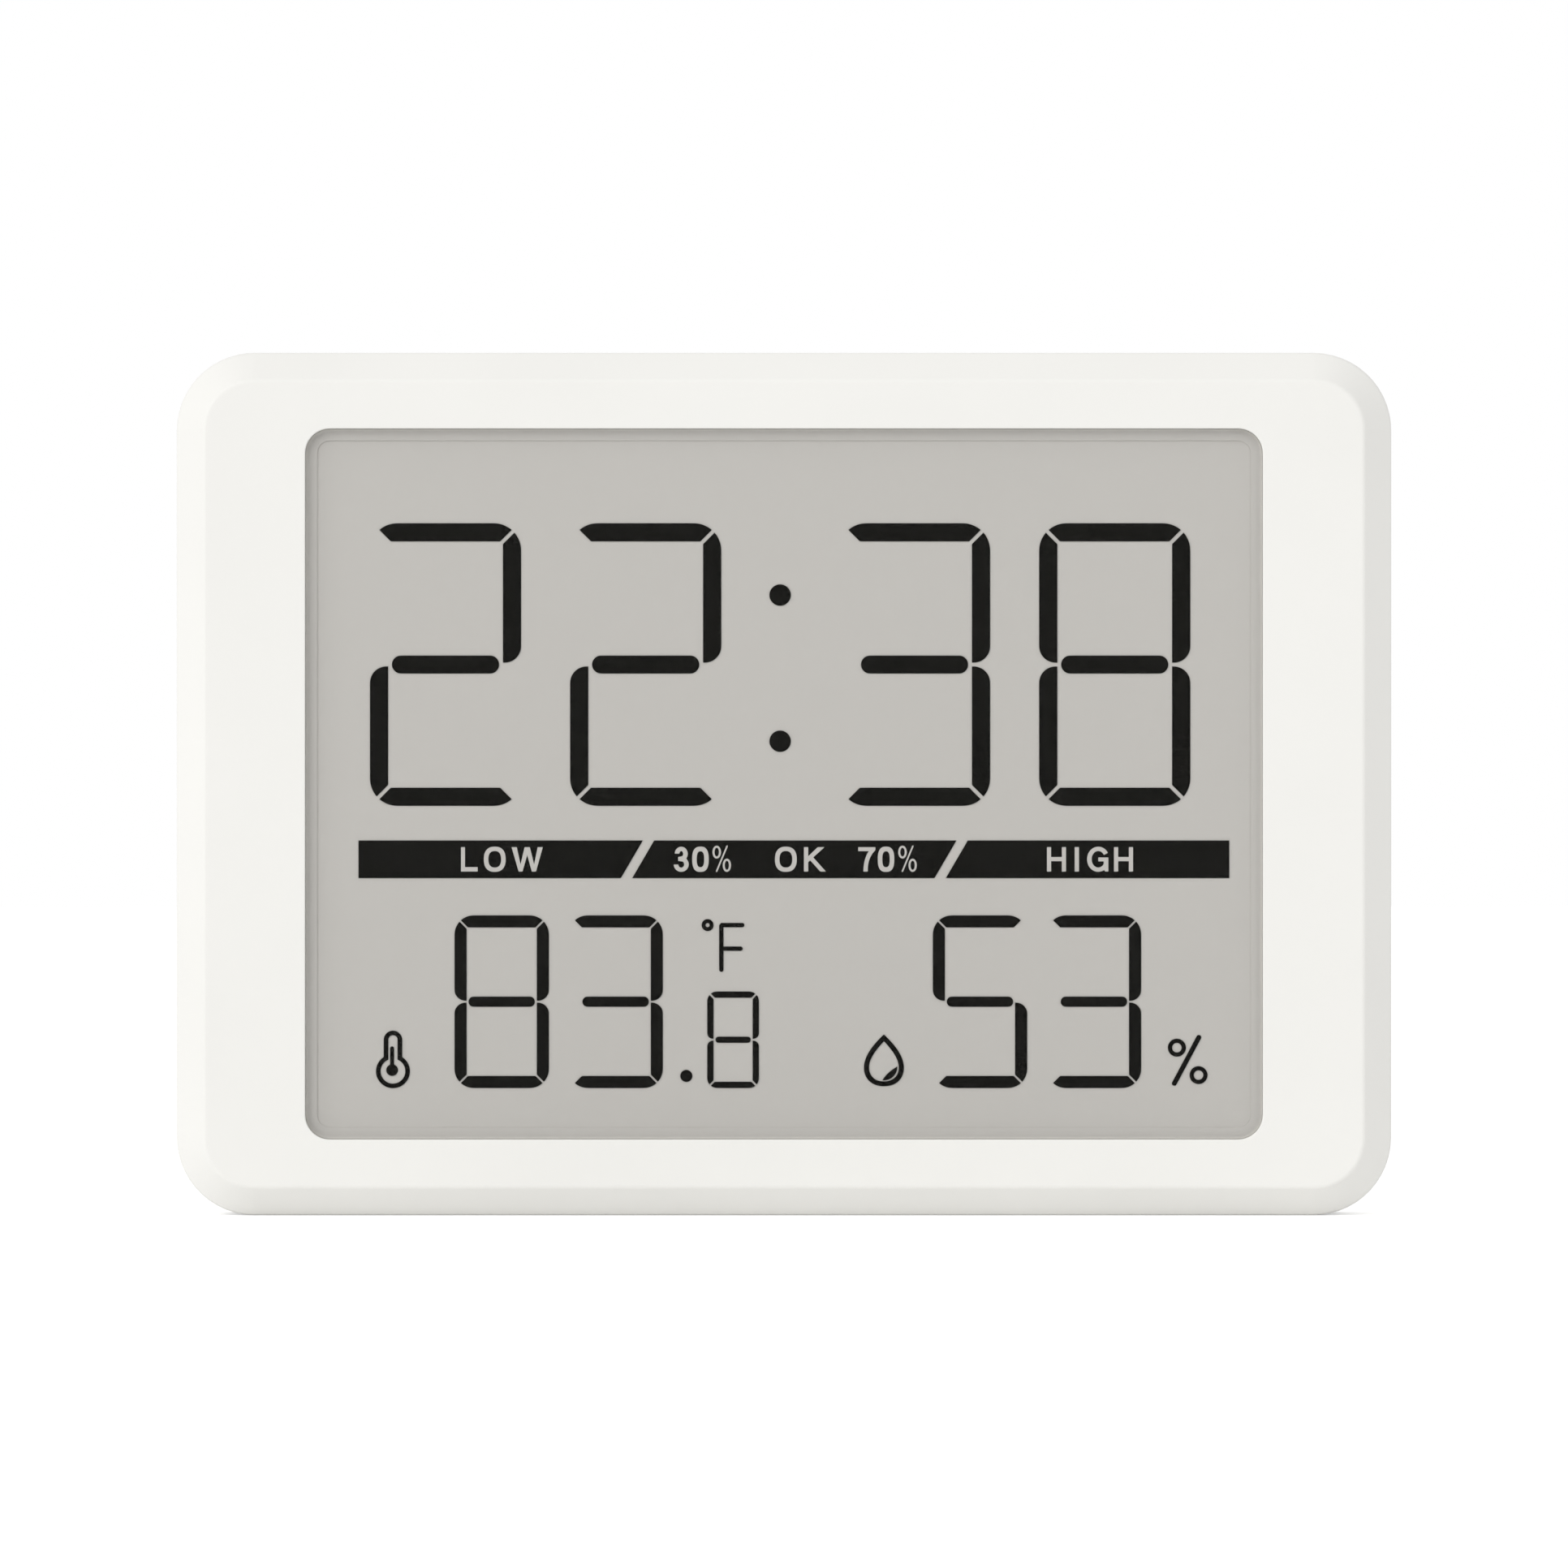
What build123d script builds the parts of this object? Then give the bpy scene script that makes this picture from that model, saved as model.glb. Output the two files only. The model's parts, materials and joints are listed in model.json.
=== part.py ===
from build123d import *
import math
import os

# Slim table and wall clock with a thermometer and a hygrometer, worked by a coin cell.
# Sizes are millimetres. X runs to the right as seen from the front, Y from front to back, and Z up.
# The origin is the middle of the underside, on which the clock stands upright.
# A depth is a distance behind the front face, and a height is counted from the middle of the casing.

# Display window
WINDOW_WIDTH = 77.6
WINDOW_HEIGHT = 57.6
WINDOW_CORNER_RADIUS = 2.0
WINDOW_EDGE_RADIUS = 0.1

# Casing shells
CASE_DEPTH = 13.0
CASE_CORNER_RADIUS = 6.3
BEVEL_WIDTH = 2.3
BEVEL_SOFTENING = 0.5
FRONT_WALL = 1.0
BEVEL_WALL = 1.0
BOSS_SKIN = 0.6
SIDE_WALL = 2.0
REAR_WALL = 1.8
REAR_EDGE_RADIUS = 1.0
REAR_COVER_DEPTH = 4.0
PARTING_CHAMFER = 0.25
TONGUE_REACH = 1.2
TONGUE_WALL = 1.2
TONGUE_CLEARANCE = 0.15
POCKET_WALL = 1.2
FEATURE_GAP = 0.8

# Liquid-crystal cell: its front glass stands in the window, its larger rear glass rests behind the frame
POLARIZER_THICKNESS = 0.15
GLASS_THICKNESS = 0.4
CRYSTAL_GAP = 0.12
SEGMENT_THICKNESS = 0.06
SEGMENT_ROUNDING = 0.9
REFLECTOR_THICKNESS = 0.25
WINDOW_GLASS_GAP = 0.15
GLASS_OVERLAP = 1.15
FILM_MARGIN = 0.1
CONTACT_LEDGE = 2.6
SEAL_WIDTH = 0.8
SEAL_OVERHANG = 0.12
SEAL_BOND = 0.01
FILM_BOND = 0.02
GLASS_CLEARANCE = 0.25
DISPLAY_RIB = 1.0
RIB_TO_WALL = 1.8

# Clip-on pins between the rear glass and the board
CLIP_COUNT = 18
CLIP_PITCH = 2.8
CLIP_WIDTH = 0.5
CLIP_THICKNESS = 0.15
CLIP_GRIP = 1.5
CLIP_GAP = 0.1

# Circuit board and what is soldered to it
BOARD_THICKNESS = 1.2
BOARD_EDGE_GAP = 0.7
BOARD_NOTCH_GAP = 0.4
SENSOR_SIDE = 3.0
SENSOR_HEIGHT = 1.0
SENSOR_PORT_RADIUS = 0.5
SENSOR_SLOT_WIDTH = 1.0
SENSOR_SLOT_GAP = 2.0
BLOB_RADIUS = 6.0
BLOB_HEIGHT = 0.9
BLOB_ROUNDING = 0.9
BLOB_DROP = 12.0
CRYSTAL_RADIUS = 1.0
CRYSTAL_LENGTH = 6.0
CRYSTAL_DROP = 20.0
CHIP_LENGTH = 1.6
CHIP_WIDTH = 0.8
CHIP_HEIGHT = 0.6
CHIP_PITCH = 3.6
CHIP_ROWS = 4
CHIP_OFFSET = 11.0

# Coin cell, its holder and its contacts
COIN_RADIUS = 10.0
COIN_THICKNESS = 3.2
COIN_STEP_RADIUS = 8.8
COIN_STEP = 0.35
COIN_EDGE_RADIUS = 0.3
CONTACT_RISE = 0.5
CONTACT_SHEET = 0.2
CONTACT_WIDTH = 4.0
CONTACT_SPAN = 9.0
CONTACT_PEAK = 4.0
CONTACT_FOOT = 2.6
CONTACT_TOUCH = 0.02
HOLDER_GAP = 0.25
HOLDER_WALL = 1.4
HOLDER_SLOT_GAP = 0.6

# Bayonet battery door
DOOR_INSET = 0.2
DOOR_DISC = 1.2
DOOR_PAD_RADIUS = 3.0
DOOR_PAD_ROOM = 0.3
DOOR_PAD_GAP = 0.1
DOOR_SEAT_GAP = 0.1
DOOR_RIM = 0.4
DOOR_RADIAL_GAP = 0.15
DOOR_EDGE_CHAMFER = 0.3
HUB_GAP = 0.2
HUB_WALL = 0.8
LUG_REACH = 1.6
LUG_THICKNESS = 1.0
LUG_GAP = 0.15
LUG_SWEEP = 30.0
LUG_COUNT = 3
FIRST_LUG_ANGLE = 90.0
LUG_SIDE_GAP = 2.5
LUG_TO_HOLDER = 0.3
DOOR_TURN = 40.0
FULL_TURN = 360.0
FLANGE_THICKNESS = 1.1
WELL_GAP = 0.3
WELL_LIFT = 0.5
COIN_SLOT_LENGTH = 13.0
COIN_SLOT_WIDTH = 2.0
COIN_SLOT_DEPTH = 0.7
MARK_RADIUS = 0.6
MARK_DEPTH = 0.25
MARK_MARGIN = 1.6

# Fold-out stand
STAND_WIDTH = 28.0
STAND_THICKNESS = 2.4
STAND_INSET = 0.2
STAND_GAP = 0.4
STAND_CORNER_RADIUS = 3.0
STAND_EDGE_RADIUS = 0.4
STAND_OPEN_ANGLE = 40.0
HEEL_REACH = 2.4
HEEL_TOP_GAP = 0.3
STOP_GAP = 0.15
PIN_RADIUS = 1.0
PIN_GRIP = 1.8
PIN_CLEARANCE = 0.05
PIN_END_GAP = 0.3
HINGE_WALL = 2.6
GRIP_COUNT = 4
GRIP_PITCH = 1.6
GRIP_WIDTH = 0.7
GRIP_DEPTH = 0.35
GRIP_MARGIN = 5.0
STAND_POCKET_DEPTH = 0.8
STAND_POCKET_MARGIN = 3.0
FINGER_NOTCH_WIDTH = 15.0
FINGER_NOTCH_HEIGHT = 2.9
FINGER_NOTCH_RADIUS = 1.2

# Push buttons and their switches
BUTTON_RADIUS = 3.4
BUTTON_INSET = 0.2
BUTTON_GAP = 0.2
BUTTON_FLANGE = 0.8
BUTTON_FLANGE_THICKNESS = 0.8
BUTTON_FLANGE_GAP = 0.1
BUTTON_EDGE_RADIUS = 0.4
BUTTON_POST_RADIUS = 1.6
BUTTON_PITCH = 12.0
BUTTON_MARK_RADIUS = 1.5
SWITCH_SIDE = 5.2
SWITCH_HEIGHT = 1.6
SWITCH_FLOOR = 0.2
STEM_RADIUS = 1.3
STEM_GAP = 0.1
STEM_PROUD = 0.8
STEM_ENGAGEMENT = 0.7

# Keyhole for a wall screw
KEYHOLE_RADIUS = 4.0
KEYHOLE_SLOT_WIDTH = 4.0
KEYHOLE_TRAVEL = 5.5
KEYHOLE_ROOM = 2.6
KEYHOLE_FLOOR = 0.8
KEYHOLE_MARGIN = 0.4

# Vents in front of the sensor, and the magnets
VENT_RADIUS = 11.0
VENT_COUNT = 7
VENT_PITCH = 3.2
VENT_WIDTH = 1.4
MAGNET_RADIUS = 5.0
MAGNET_THICKNESS = 2.0
MAGNET_GAP = 0.1

# Screws and the bosses that take them
SCREW_CLEARANCE = 0.05
COVER_BOSS_RADIUS = 2.7
COVER_BOSS_SKIN = 1.1
COVER_BOSS_GAP = 0.2
COVER_BOSS_DROP = 7.0
COVER_SCREW_RADIUS = 1.0
COVER_SCREW_LENGTH = 6.0
COVER_HEAD_RADIUS = 1.9
COVER_HEAD_HEIGHT = 1.3
COVER_HEAD_SINK = 2.0
COVER_HEAD_GAP = 0.35
BOARD_BOSS_RADIUS = 2.0
BOARD_SCREW_SPACING = 24.0
BOARD_SCREW_RADIUS = 0.8
BOARD_SCREW_LENGTH = 4.0
BOARD_HEAD_RADIUS = 1.4
BOARD_HEAD_HEIGHT = 0.9
BOARD_HEAD_GAP = 0.2
PILOT_EXTRA = 0.4
RECESS_ARM = 0.8
RECESS_WIDTH = 0.4
RECESS_DEPTH = 0.6

# What the display reads
HOURS_SHOWN = ("two", "two")
MINUTES_SHOWN = ("three", "eight")
DEGREES_SHOWN = ("eight", "three")
TENTH_SHOWN = ("eight",)
HUMIDITY_SHOWN = ("five", "three")

# Sizes and margins of the figures and the comfort bar inside the window
TIME_LEFT_MARGIN = 5.23
TIME_RIGHT_MARGIN = 5.86
TIME_TOP_MARGIN = 7.66
TIME_FIGURE_GAP = 3.98
TIME_COLON_GAP = 9.55
TIME_STROKE = 1.47
TIME_MIDDLE_STROKE = 1.46
TIME_SEGMENT_GAP = 0.31
TIME_CORNER_RADIUS = 2.2
COLON_RADIUS = 0.87
COLON_SPACING = 11.85
COLON_DROP = 0.29
TIME_TO_BAR = 2.81
BAR_HEIGHT = 3.05
BAR_LEFT_MARGIN = 4.3
BAR_RIGHT_MARGIN = 2.7
BAR_SLANT = 1.78
BAR_GAP = 0.92
BAR_FIRST_FIELD = 22.62
BAR_LAST_FIELD = 22.55
BAR_TO_READING = 3.02
READING_WIDTH = 7.65
READING_HEIGHT = 14.0
READING_PITCH = 9.24
READING_STROKE = 0.98
READING_MIDDLE_STROKE = 0.83
READING_SEGMENT_GAP = 0.15
READING_CORNER_RADIUS = 1.55
READING_BOTTOM_MARGIN = 4.15
DEGREES_INSET = 20.53
HUMIDITY_INSET = 18.29
DECIMAL_OFFSET = 10.35
DECIMAL_RADIUS = 0.49
TENTH_OFFSET = 14.14
TENTH_WIDTH = 4.19
TENTH_HEIGHT = 7.83
TENTH_STROKE = 0.51
TENTH_MIDDLE_STROKE = 0.5
TENTH_CORNER_RADIUS = 0.8

# Which of the seven segments each figure lights, in the usual a to g order
LIT_SEGMENTS = {
    "zero": "abcdef",
    "one": "bc",
    "two": "abged",
    "three": "abgcd",
    "four": "fgbc",
    "five": "afgcd",
    "six": "afgedc",
    "seven": "abc",
    "eight": "abcdefg",
    "nine": "abcdfg",
}

# Overall size, worked out from the window and what the frame has to hold
REFLECTOR_WIDTH = WINDOW_WIDTH + 2 * GLASS_OVERLAP
REAR_GLASS_WIDTH = REFLECTOR_WIDTH + 2 * CONTACT_LEDGE
REAR_GLASS_HEIGHT = WINDOW_HEIGHT + 2 * GLASS_OVERLAP
POCKET_WIDTH = REAR_GLASS_WIDTH + 2 * GLASS_CLEARANCE
POCKET_HEIGHT = REAR_GLASS_HEIGHT + 2 * GLASS_CLEARANCE
CASE_WIDTH = POCKET_WIDTH + 2 * (2 * COVER_BOSS_RADIUS + COVER_BOSS_SKIN)
CASE_HEIGHT = POCKET_HEIGHT + 2 * (DISPLAY_RIB + RIB_TO_WALL + SIDE_WALL)

# Places of the figures and the bar, from the margins inside the window
BAR_LEFT = BAR_LEFT_MARGIN - WINDOW_WIDTH / 2
BAR_RIGHT = WINDOW_WIDTH / 2 - BAR_RIGHT_MARGIN
READING_BASE = READING_BOTTOM_MARGIN - WINDOW_HEIGHT / 2
READING_Z = READING_BASE + READING_HEIGHT / 2
BAR_Z = READING_BASE + READING_HEIGHT + BAR_TO_READING + BAR_HEIGHT / 2
TIME_BASE = BAR_Z + BAR_HEIGHT / 2 + TIME_TO_BAR
TIME_HEIGHT = WINDOW_HEIGHT / 2 - TIME_TOP_MARGIN - TIME_BASE
TIME_Z = TIME_BASE + TIME_HEIGHT / 2
TIME_LEFT = TIME_LEFT_MARGIN - WINDOW_WIDTH / 2
TIME_RIGHT = WINDOW_WIDTH / 2 - TIME_RIGHT_MARGIN
TIME_WIDTH = (TIME_RIGHT - TIME_LEFT - 2 * TIME_FIGURE_GAP - TIME_COLON_GAP) / 4
TIME_PITCH = TIME_WIDTH + TIME_FIGURE_GAP
HOURS_X = TIME_LEFT + TIME_WIDTH + TIME_FIGURE_GAP / 2
MINUTES_X = TIME_RIGHT - TIME_WIDTH - TIME_FIGURE_GAP / 2
DEGREES_X = DEGREES_INSET - WINDOW_WIDTH / 2
HUMIDITY_X = WINDOW_WIDTH / 2 - HUMIDITY_INSET

# Depths of the layers, from the front face back
REAR_GLASS_FRONT = FRONT_WALL
CRYSTAL_FRONT = REAR_GLASS_FRONT - CRYSTAL_GAP
GLASS_FRONT = CRYSTAL_FRONT - GLASS_THICKNESS
POLARIZER_BACK = GLASS_FRONT - FILM_BOND
POLARIZER_FRONT = POLARIZER_BACK - POLARIZER_THICKNESS
REFLECTOR_FRONT = REAR_GLASS_FRONT + GLASS_THICKNESS
DISPLAY_BACK = REFLECTOR_FRONT + REFLECTOR_THICKNESS
PARTING_DEPTH = CASE_DEPTH - REAR_COVER_DEPTH
REAR_INNER = CASE_DEPTH - REAR_WALL
DOOR_BACK = CASE_DEPTH - DOOR_INSET
DOOR_FRONT = DOOR_BACK - DOOR_DISC
SEAT_DEPTH = DOOR_FRONT - DOOR_SEAT_GAP
FLANGE_FRONT = SEAT_DEPTH - FLANGE_THICKNESS
LUG_BACK = FLANGE_FRONT - LUG_GAP
LUG_FRONT = LUG_BACK - LUG_THICKNESS
COIN_BACK = DOOR_FRONT - DOOR_PAD_ROOM
COIN_FRONT = COIN_BACK - COIN_THICKNESS
BOARD_BACK = COIN_FRONT - CONTACT_RISE
BOARD_FRONT = BOARD_BACK - BOARD_THICKNESS
STAND_BACK = CASE_DEPTH - STAND_INSET
STAND_FRONT = STAND_BACK - STAND_THICKNESS
HINGE_DEPTH = (STAND_FRONT + STAND_BACK) / 2
RECESS_FLOOR = STAND_FRONT - STAND_GAP
HEEL_SWING = math.hypot(STAND_THICKNESS / 2, HEEL_REACH)
OPEN_RADIANS = math.radians(STAND_OPEN_ANGLE)
HEEL_DIP = STAND_THICKNESS / 2 * math.cos(OPEN_RADIANS) + HEEL_REACH * math.sin(OPEN_RADIANS)
HEEL_FLOOR = HINGE_DEPTH - HEEL_DIP - STOP_GAP
SCREW_SEAT = CASE_DEPTH - COVER_HEAD_SINK
SWITCH_BACK = BOARD_BACK + SWITCH_HEIGHT
STEM_BACK = SWITCH_BACK + STEM_PROUD

# Insets of the shells, and the radii of the door and its well
TONGUE_INSET = SIDE_WALL + TONGUE_CLEARANCE
COVER_INSET = TONGUE_INSET + TONGUE_WALL
HUB_INNER = COIN_RADIUS + HUB_GAP
HUB_OUTER = HUB_INNER + HUB_WALL
LUG_OUTER = HUB_OUTER + LUG_REACH
DOOR_RADIUS = LUG_OUTER + DOOR_RIM
SEAT_RADIUS = DOOR_RADIUS + DOOR_RADIAL_GAP
WELL_INNER = LUG_OUTER + WELL_GAP
WELL_OUTER = WELL_INNER + POCKET_WALL
HOLDER_INNER = COIN_RADIUS + HOLDER_GAP
HOLDER_OUTER = HOLDER_INNER + HOLDER_WALL
FLANGE_RADIUS = BUTTON_RADIUS + BUTTON_FLANGE
KEYHOLE_POCKET_RADIUS = KEYHOLE_RADIUS + KEYHOLE_MARGIN
MAGNET_RING_RADIUS = MAGNET_RADIUS + MAGNET_GAP + POCKET_WALL

# Places on the back, stacked down from the top and shared out from the middle
KEYHOLE_END_Z = CASE_HEIGHT / 2 - COVER_INSET - KEYHOLE_POCKET_RADIUS
KEYHOLE_Z = KEYHOLE_END_Z - KEYHOLE_TRAVEL
BUTTON_Z = KEYHOLE_Z - KEYHOLE_POCKET_RADIUS - POCKET_WALL - FEATURE_GAP - FLANGE_RADIUS
HEEL_POCKET_TOP = BUTTON_Z - FLANGE_RADIUS - FEATURE_GAP - POCKET_WALL
STAND_AXIS_Z = HEEL_POCKET_TOP - HEEL_TOP_GAP - HEEL_SWING
STAND_END_Z = SIDE_WALL + STAND_GAP - CASE_HEIGHT / 2
RECESS_HALF = STAND_WIDTH / 2 + STAND_GAP
STAND_BOX_HALF = RECESS_HALF + HINGE_WALL
BAY_X = (STAND_BOX_HALF + CASE_WIDTH / 2 - COVER_INSET) / 2
MAGNET_Z = WELL_OUTER + FEATURE_GAP + MAGNET_RING_RADIUS
COVER_BOSS_X = CASE_WIDTH / 2 - COVER_BOSS_SKIN - COVER_BOSS_RADIUS
COVER_BOSS_Z = CASE_HEIGHT / 2 - COVER_BOSS_DROP
BOARD_BOSS_X = POCKET_WIDTH / 2 + BOARD_BOSS_RADIUS
BOARD_WIDTH = CASE_WIDTH - 2 * (SIDE_WALL + BOARD_EDGE_GAP)
BOARD_HEIGHT = CASE_HEIGHT - 2 * (SIDE_WALL + BOARD_EDGE_GAP)
COVER_BOSSES = [(x, z) for x in (-COVER_BOSS_X, COVER_BOSS_X) for z in (-COVER_BOSS_Z, COVER_BOSS_Z)]
BOARD_BOSSES = [
    (x, z)
    for x in (-BOARD_BOSS_X, BOARD_BOSS_X)
    for z in (-BOARD_SCREW_SPACING / 2, BOARD_SCREW_SPACING / 2)
]
BUTTON_PLACES = {"down": -BUTTON_PITCH, "set": 0.0, "up": BUTTON_PITCH}


def facing_plane(depth):
    """Plane at a depth behind the front face, drawn on as seen from the front."""
    origin = (0, depth - CASE_DEPTH / 2, CASE_HEIGHT / 2)
    return Plane(origin=origin, x_dir=(1, 0, 0), z_dir=(0, -1, 0))


def slab(profile, near, far):
    """Solid of a profile drawn as seen from the front, between two depths."""
    return extrude(facing_plane(far) * profile, amount=far - near, dir=(0, -1, 0))


def disc(radius, near, far, x=0.0, z=0.0):
    """Round bar along the depth."""
    return slab(Pos(x, z) * Circle(radius), near, far)


def ring(inner, outer, near, far, x=0.0, z=0.0):
    """Tube along the depth."""
    return slab(Pos(x, z) * (Circle(outer) - Circle(inner)), near, far)


def sector(inner, outer, middle, sweep):
    """Piece of a flat ring, about an angle counted anticlockwise as seen from the front."""
    start = middle - sweep / 2
    inside = CenterArc((0, 0), inner, start, sweep)
    outside = CenterArc((0, 0), outer, start, sweep)
    sides = Line(inside @ 0, outside @ 0) + Line(inside @ 1, outside @ 1)
    return make_face(inside + outside + sides)


def front_edges(solid):
    """Edges of the foremost flat face."""
    return solid.faces().sort_by(Axis.Y)[0].outer_wire().edges()


def back_edges(solid):
    """Edges of the rearmost flat face."""
    return solid.faces().sort_by(Axis.Y)[-1].outer_wire().edges()


def edges_at_depth(solid, depth):
    """Edges that lie in one plane across the depth."""
    place = depth - CASE_DEPTH / 2
    margin = 0.001
    level = solid.edges().filter_by_position(Axis.Y, place - margin, place + margin)
    return level.filter_by(lambda edge: edge.bounding_box().size.Y < margin)


def casing_outline(inset=0.0):
    """Outline of the casing as seen from the front, moved inwards."""
    radius = CASE_CORNER_RADIUS - inset
    return RectangleRounded(CASE_WIDTH - 2 * inset, CASE_HEIGHT - 2 * inset, radius)


def casing_room(inset, skin):
    """Space inside the front casing, an inset from its sides and a skin's thickness behind its bevel."""
    room = slab(casing_outline(inset), FRONT_WALL, PARTING_DEPTH)
    corner = BEVEL_WIDTH - inset + skin * math.sqrt(2) - FRONT_WALL
    return chamfer(front_edges(room), corner)


def front_shell():
    """Front casing: bevelled frame with its window, side walls, display ribs and screw bosses."""
    body = slab(casing_outline(), 0, PARTING_DEPTH)
    body = chamfer(front_edges(body), BEVEL_WIDTH)
    body = fillet(front_edges(body) + edges_at_depth(body, BEVEL_WIDTH), BEVEL_SOFTENING)
    body = chamfer(back_edges(body), PARTING_CHAMFER)
    body -= casing_room(SIDE_WALL, BEVEL_WALL)
    window = RectangleRounded(WINDOW_WIDTH, WINDOW_HEIGHT, WINDOW_CORNER_RADIUS)
    body -= slab(window, 0, FRONT_WALL)
    window_edges = body.faces().sort_by(Axis.Y)[0].inner_wires()[0].edges()
    body = fillet(window_edges, WINDOW_EDGE_RADIUS)

    pocket = Rectangle(POCKET_WIDTH, POCKET_HEIGHT)
    rib_outline = Rectangle(POCKET_WIDTH + 2 * DISPLAY_RIB, POCKET_HEIGHT + 2 * DISPLAY_RIB)
    body += slab(rib_outline - pocket, FRONT_WALL, DISPLAY_BACK)
    inside = casing_room(SIDE_WALL / 2, BOSS_SKIN)
    for x, z in COVER_BOSSES:
        body += disc(COVER_BOSS_RADIUS, FRONT_WALL, PARTING_DEPTH, x, z) & inside
    for x, z in BOARD_BOSSES:
        body += disc(BOARD_BOSS_RADIUS, FRONT_WALL, BOARD_FRONT, x, z) & inside
    body -= slab(pocket, FRONT_WALL, PARTING_DEPTH)
    groove_width = CLIP_GRIP + CLIP_GAP + GLASS_CLEARANCE
    groove = Rectangle(groove_width, CLIP_COUNT * CLIP_PITCH)
    for side in (-1, 1):
        place = Pos(side * (POCKET_WIDTH - groove_width) / 2, 0)
        body -= slab(place * groove, FRONT_WALL - CLIP_THICKNESS - CLIP_GAP, FRONT_WALL)
    for x, z in COVER_BOSSES:
        pilot_end = SCREW_SEAT - COVER_SCREW_LENGTH - PILOT_EXTRA
        body -= disc(COVER_SCREW_RADIUS + SCREW_CLEARANCE, pilot_end, PARTING_DEPTH, x, z)
    for x, z in BOARD_BOSSES:
        pilot_end = BOARD_BACK - BOARD_SCREW_LENGTH - PILOT_EXTRA
        body -= disc(BOARD_SCREW_RADIUS + SCREW_CLEARANCE, pilot_end, BOARD_FRONT, x, z)
    return body


def stand_outline(half_width, bottom, top, corner_radius):
    """Plate with rounded lower corners, as seen from the front."""
    plate = Pos(0, (bottom + top) / 2) * Rectangle(2 * half_width, top - bottom)
    return fillet(plate.vertices().sort_by(Axis.Y)[:2], corner_radius)


def stand_recess():
    """Space in the rear cover for the folded stand, its swinging heel and a finger."""
    floor_outline = stand_outline(
        RECESS_HALF, STAND_END_Z - STAND_GAP, HEEL_POCKET_TOP, STAND_CORNER_RADIUS + STAND_GAP
    )
    heel_height = HEEL_POCKET_TOP - STAND_AXIS_Z + STAND_THICKNESS / 2
    heel_outline = Pos(0, HEEL_POCKET_TOP - heel_height / 2) * Rectangle(2 * RECESS_HALF, heel_height)
    notch = RectangleRounded(FINGER_NOTCH_WIDTH, 2 * FINGER_NOTCH_HEIGHT, FINGER_NOTCH_RADIUS)
    space = slab(floor_outline, RECESS_FLOOR, CASE_DEPTH)
    space += slab(heel_outline, HEEL_FLOOR, CASE_DEPTH)
    space += slab(Pos(0, -CASE_HEIGHT / 2) * notch, RECESS_FLOOR, CASE_DEPTH)
    bore_length = 2 * (RECESS_HALF + PIN_GRIP + PIN_END_GAP)
    return space + hinge_bar(PIN_RADIUS + PIN_CLEARANCE, bore_length)


def hinge_bar(radius, length):
    """Round bar on the axis of the stand's hinge."""
    centre = (0, HINGE_DEPTH - CASE_DEPTH / 2, CASE_HEIGHT / 2 + STAND_AXIS_Z)
    return Pos(*centre) * Rot(0, 90, 0) * Cylinder(radius, length)


def stand_housing():
    """Walls inside the rear cover around the stand's recess."""
    bottom = TONGUE_INSET - CASE_HEIGHT / 2
    top = HEEL_POCKET_TOP + POCKET_WALL
    walls = Pos(0, (bottom + top) / 2) * Rectangle(2 * STAND_BOX_HALF, top - bottom)
    heel_bottom = STAND_AXIS_Z - STAND_THICKNESS / 2 - POCKET_WALL
    heel_walls = Pos(0, (heel_bottom + top) / 2) * Rectangle(2 * STAND_BOX_HALF, top - heel_bottom)
    housing = slab(walls, RECESS_FLOOR - POCKET_WALL, REAR_INNER)
    return housing + slab(heel_walls, HEEL_FLOOR - POCKET_WALL, REAR_INNER)


def door_lugs(sweep, inner, outer, shift=0.0):
    """Ring pieces at the door's lugs, as seen from the front."""
    spacing = FULL_TURN / LUG_COUNT
    first = FIRST_LUG_ANGLE + shift
    return Sketch() + [sector(inner, outer, first + i * spacing, sweep) for i in range(LUG_COUNT)]


def door_well(cover):
    """Adds the cell's well, the flange that the door's lugs hook under, and the stops for the lugs."""
    place = Pos(-BAY_X, 0)
    cover += slab(place * Circle(WELL_OUTER), BOARD_BACK + WELL_LIFT, REAR_INNER)
    cover -= disc(SEAT_RADIUS, SEAT_DEPTH, CASE_DEPTH, -BAY_X)
    cover -= disc(HUB_OUTER + DOOR_RADIAL_GAP, 0, SEAT_DEPTH, -BAY_X)
    cover -= disc(WELL_INNER, 0, FLANGE_FRONT, -BAY_X)
    notch_sweep = LUG_SWEEP + 2 * LUG_SIDE_GAP
    notches = door_lugs(notch_sweep, HUB_OUTER, LUG_OUTER + DOOR_RADIAL_GAP, -DOOR_TURN)
    cover -= slab(place * notches, FLANGE_FRONT, SEAT_DEPTH)
    stop_sweep = FULL_TURN / LUG_COUNT - DOOR_TURN - LUG_SWEEP - 2 * LUG_SIDE_GAP
    stop_middle = -(DOOR_TURN + FULL_TURN / LUG_COUNT) / 2
    stops = door_lugs(stop_sweep, HUB_OUTER + WELL_GAP, WELL_INNER + POCKET_WALL / 2, stop_middle)
    cover += slab(place * stops, LUG_FRONT, FLANGE_FRONT)
    for turn in (0, -DOOR_TURN):
        mark = place * Rot(0, 0, turn) * Pos(0, SEAT_RADIUS + MARK_MARGIN) * Circle(MARK_RADIUS)
        cover -= slab(mark, CASE_DEPTH - MARK_DEPTH, CASE_DEPTH)
    return cover


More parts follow.
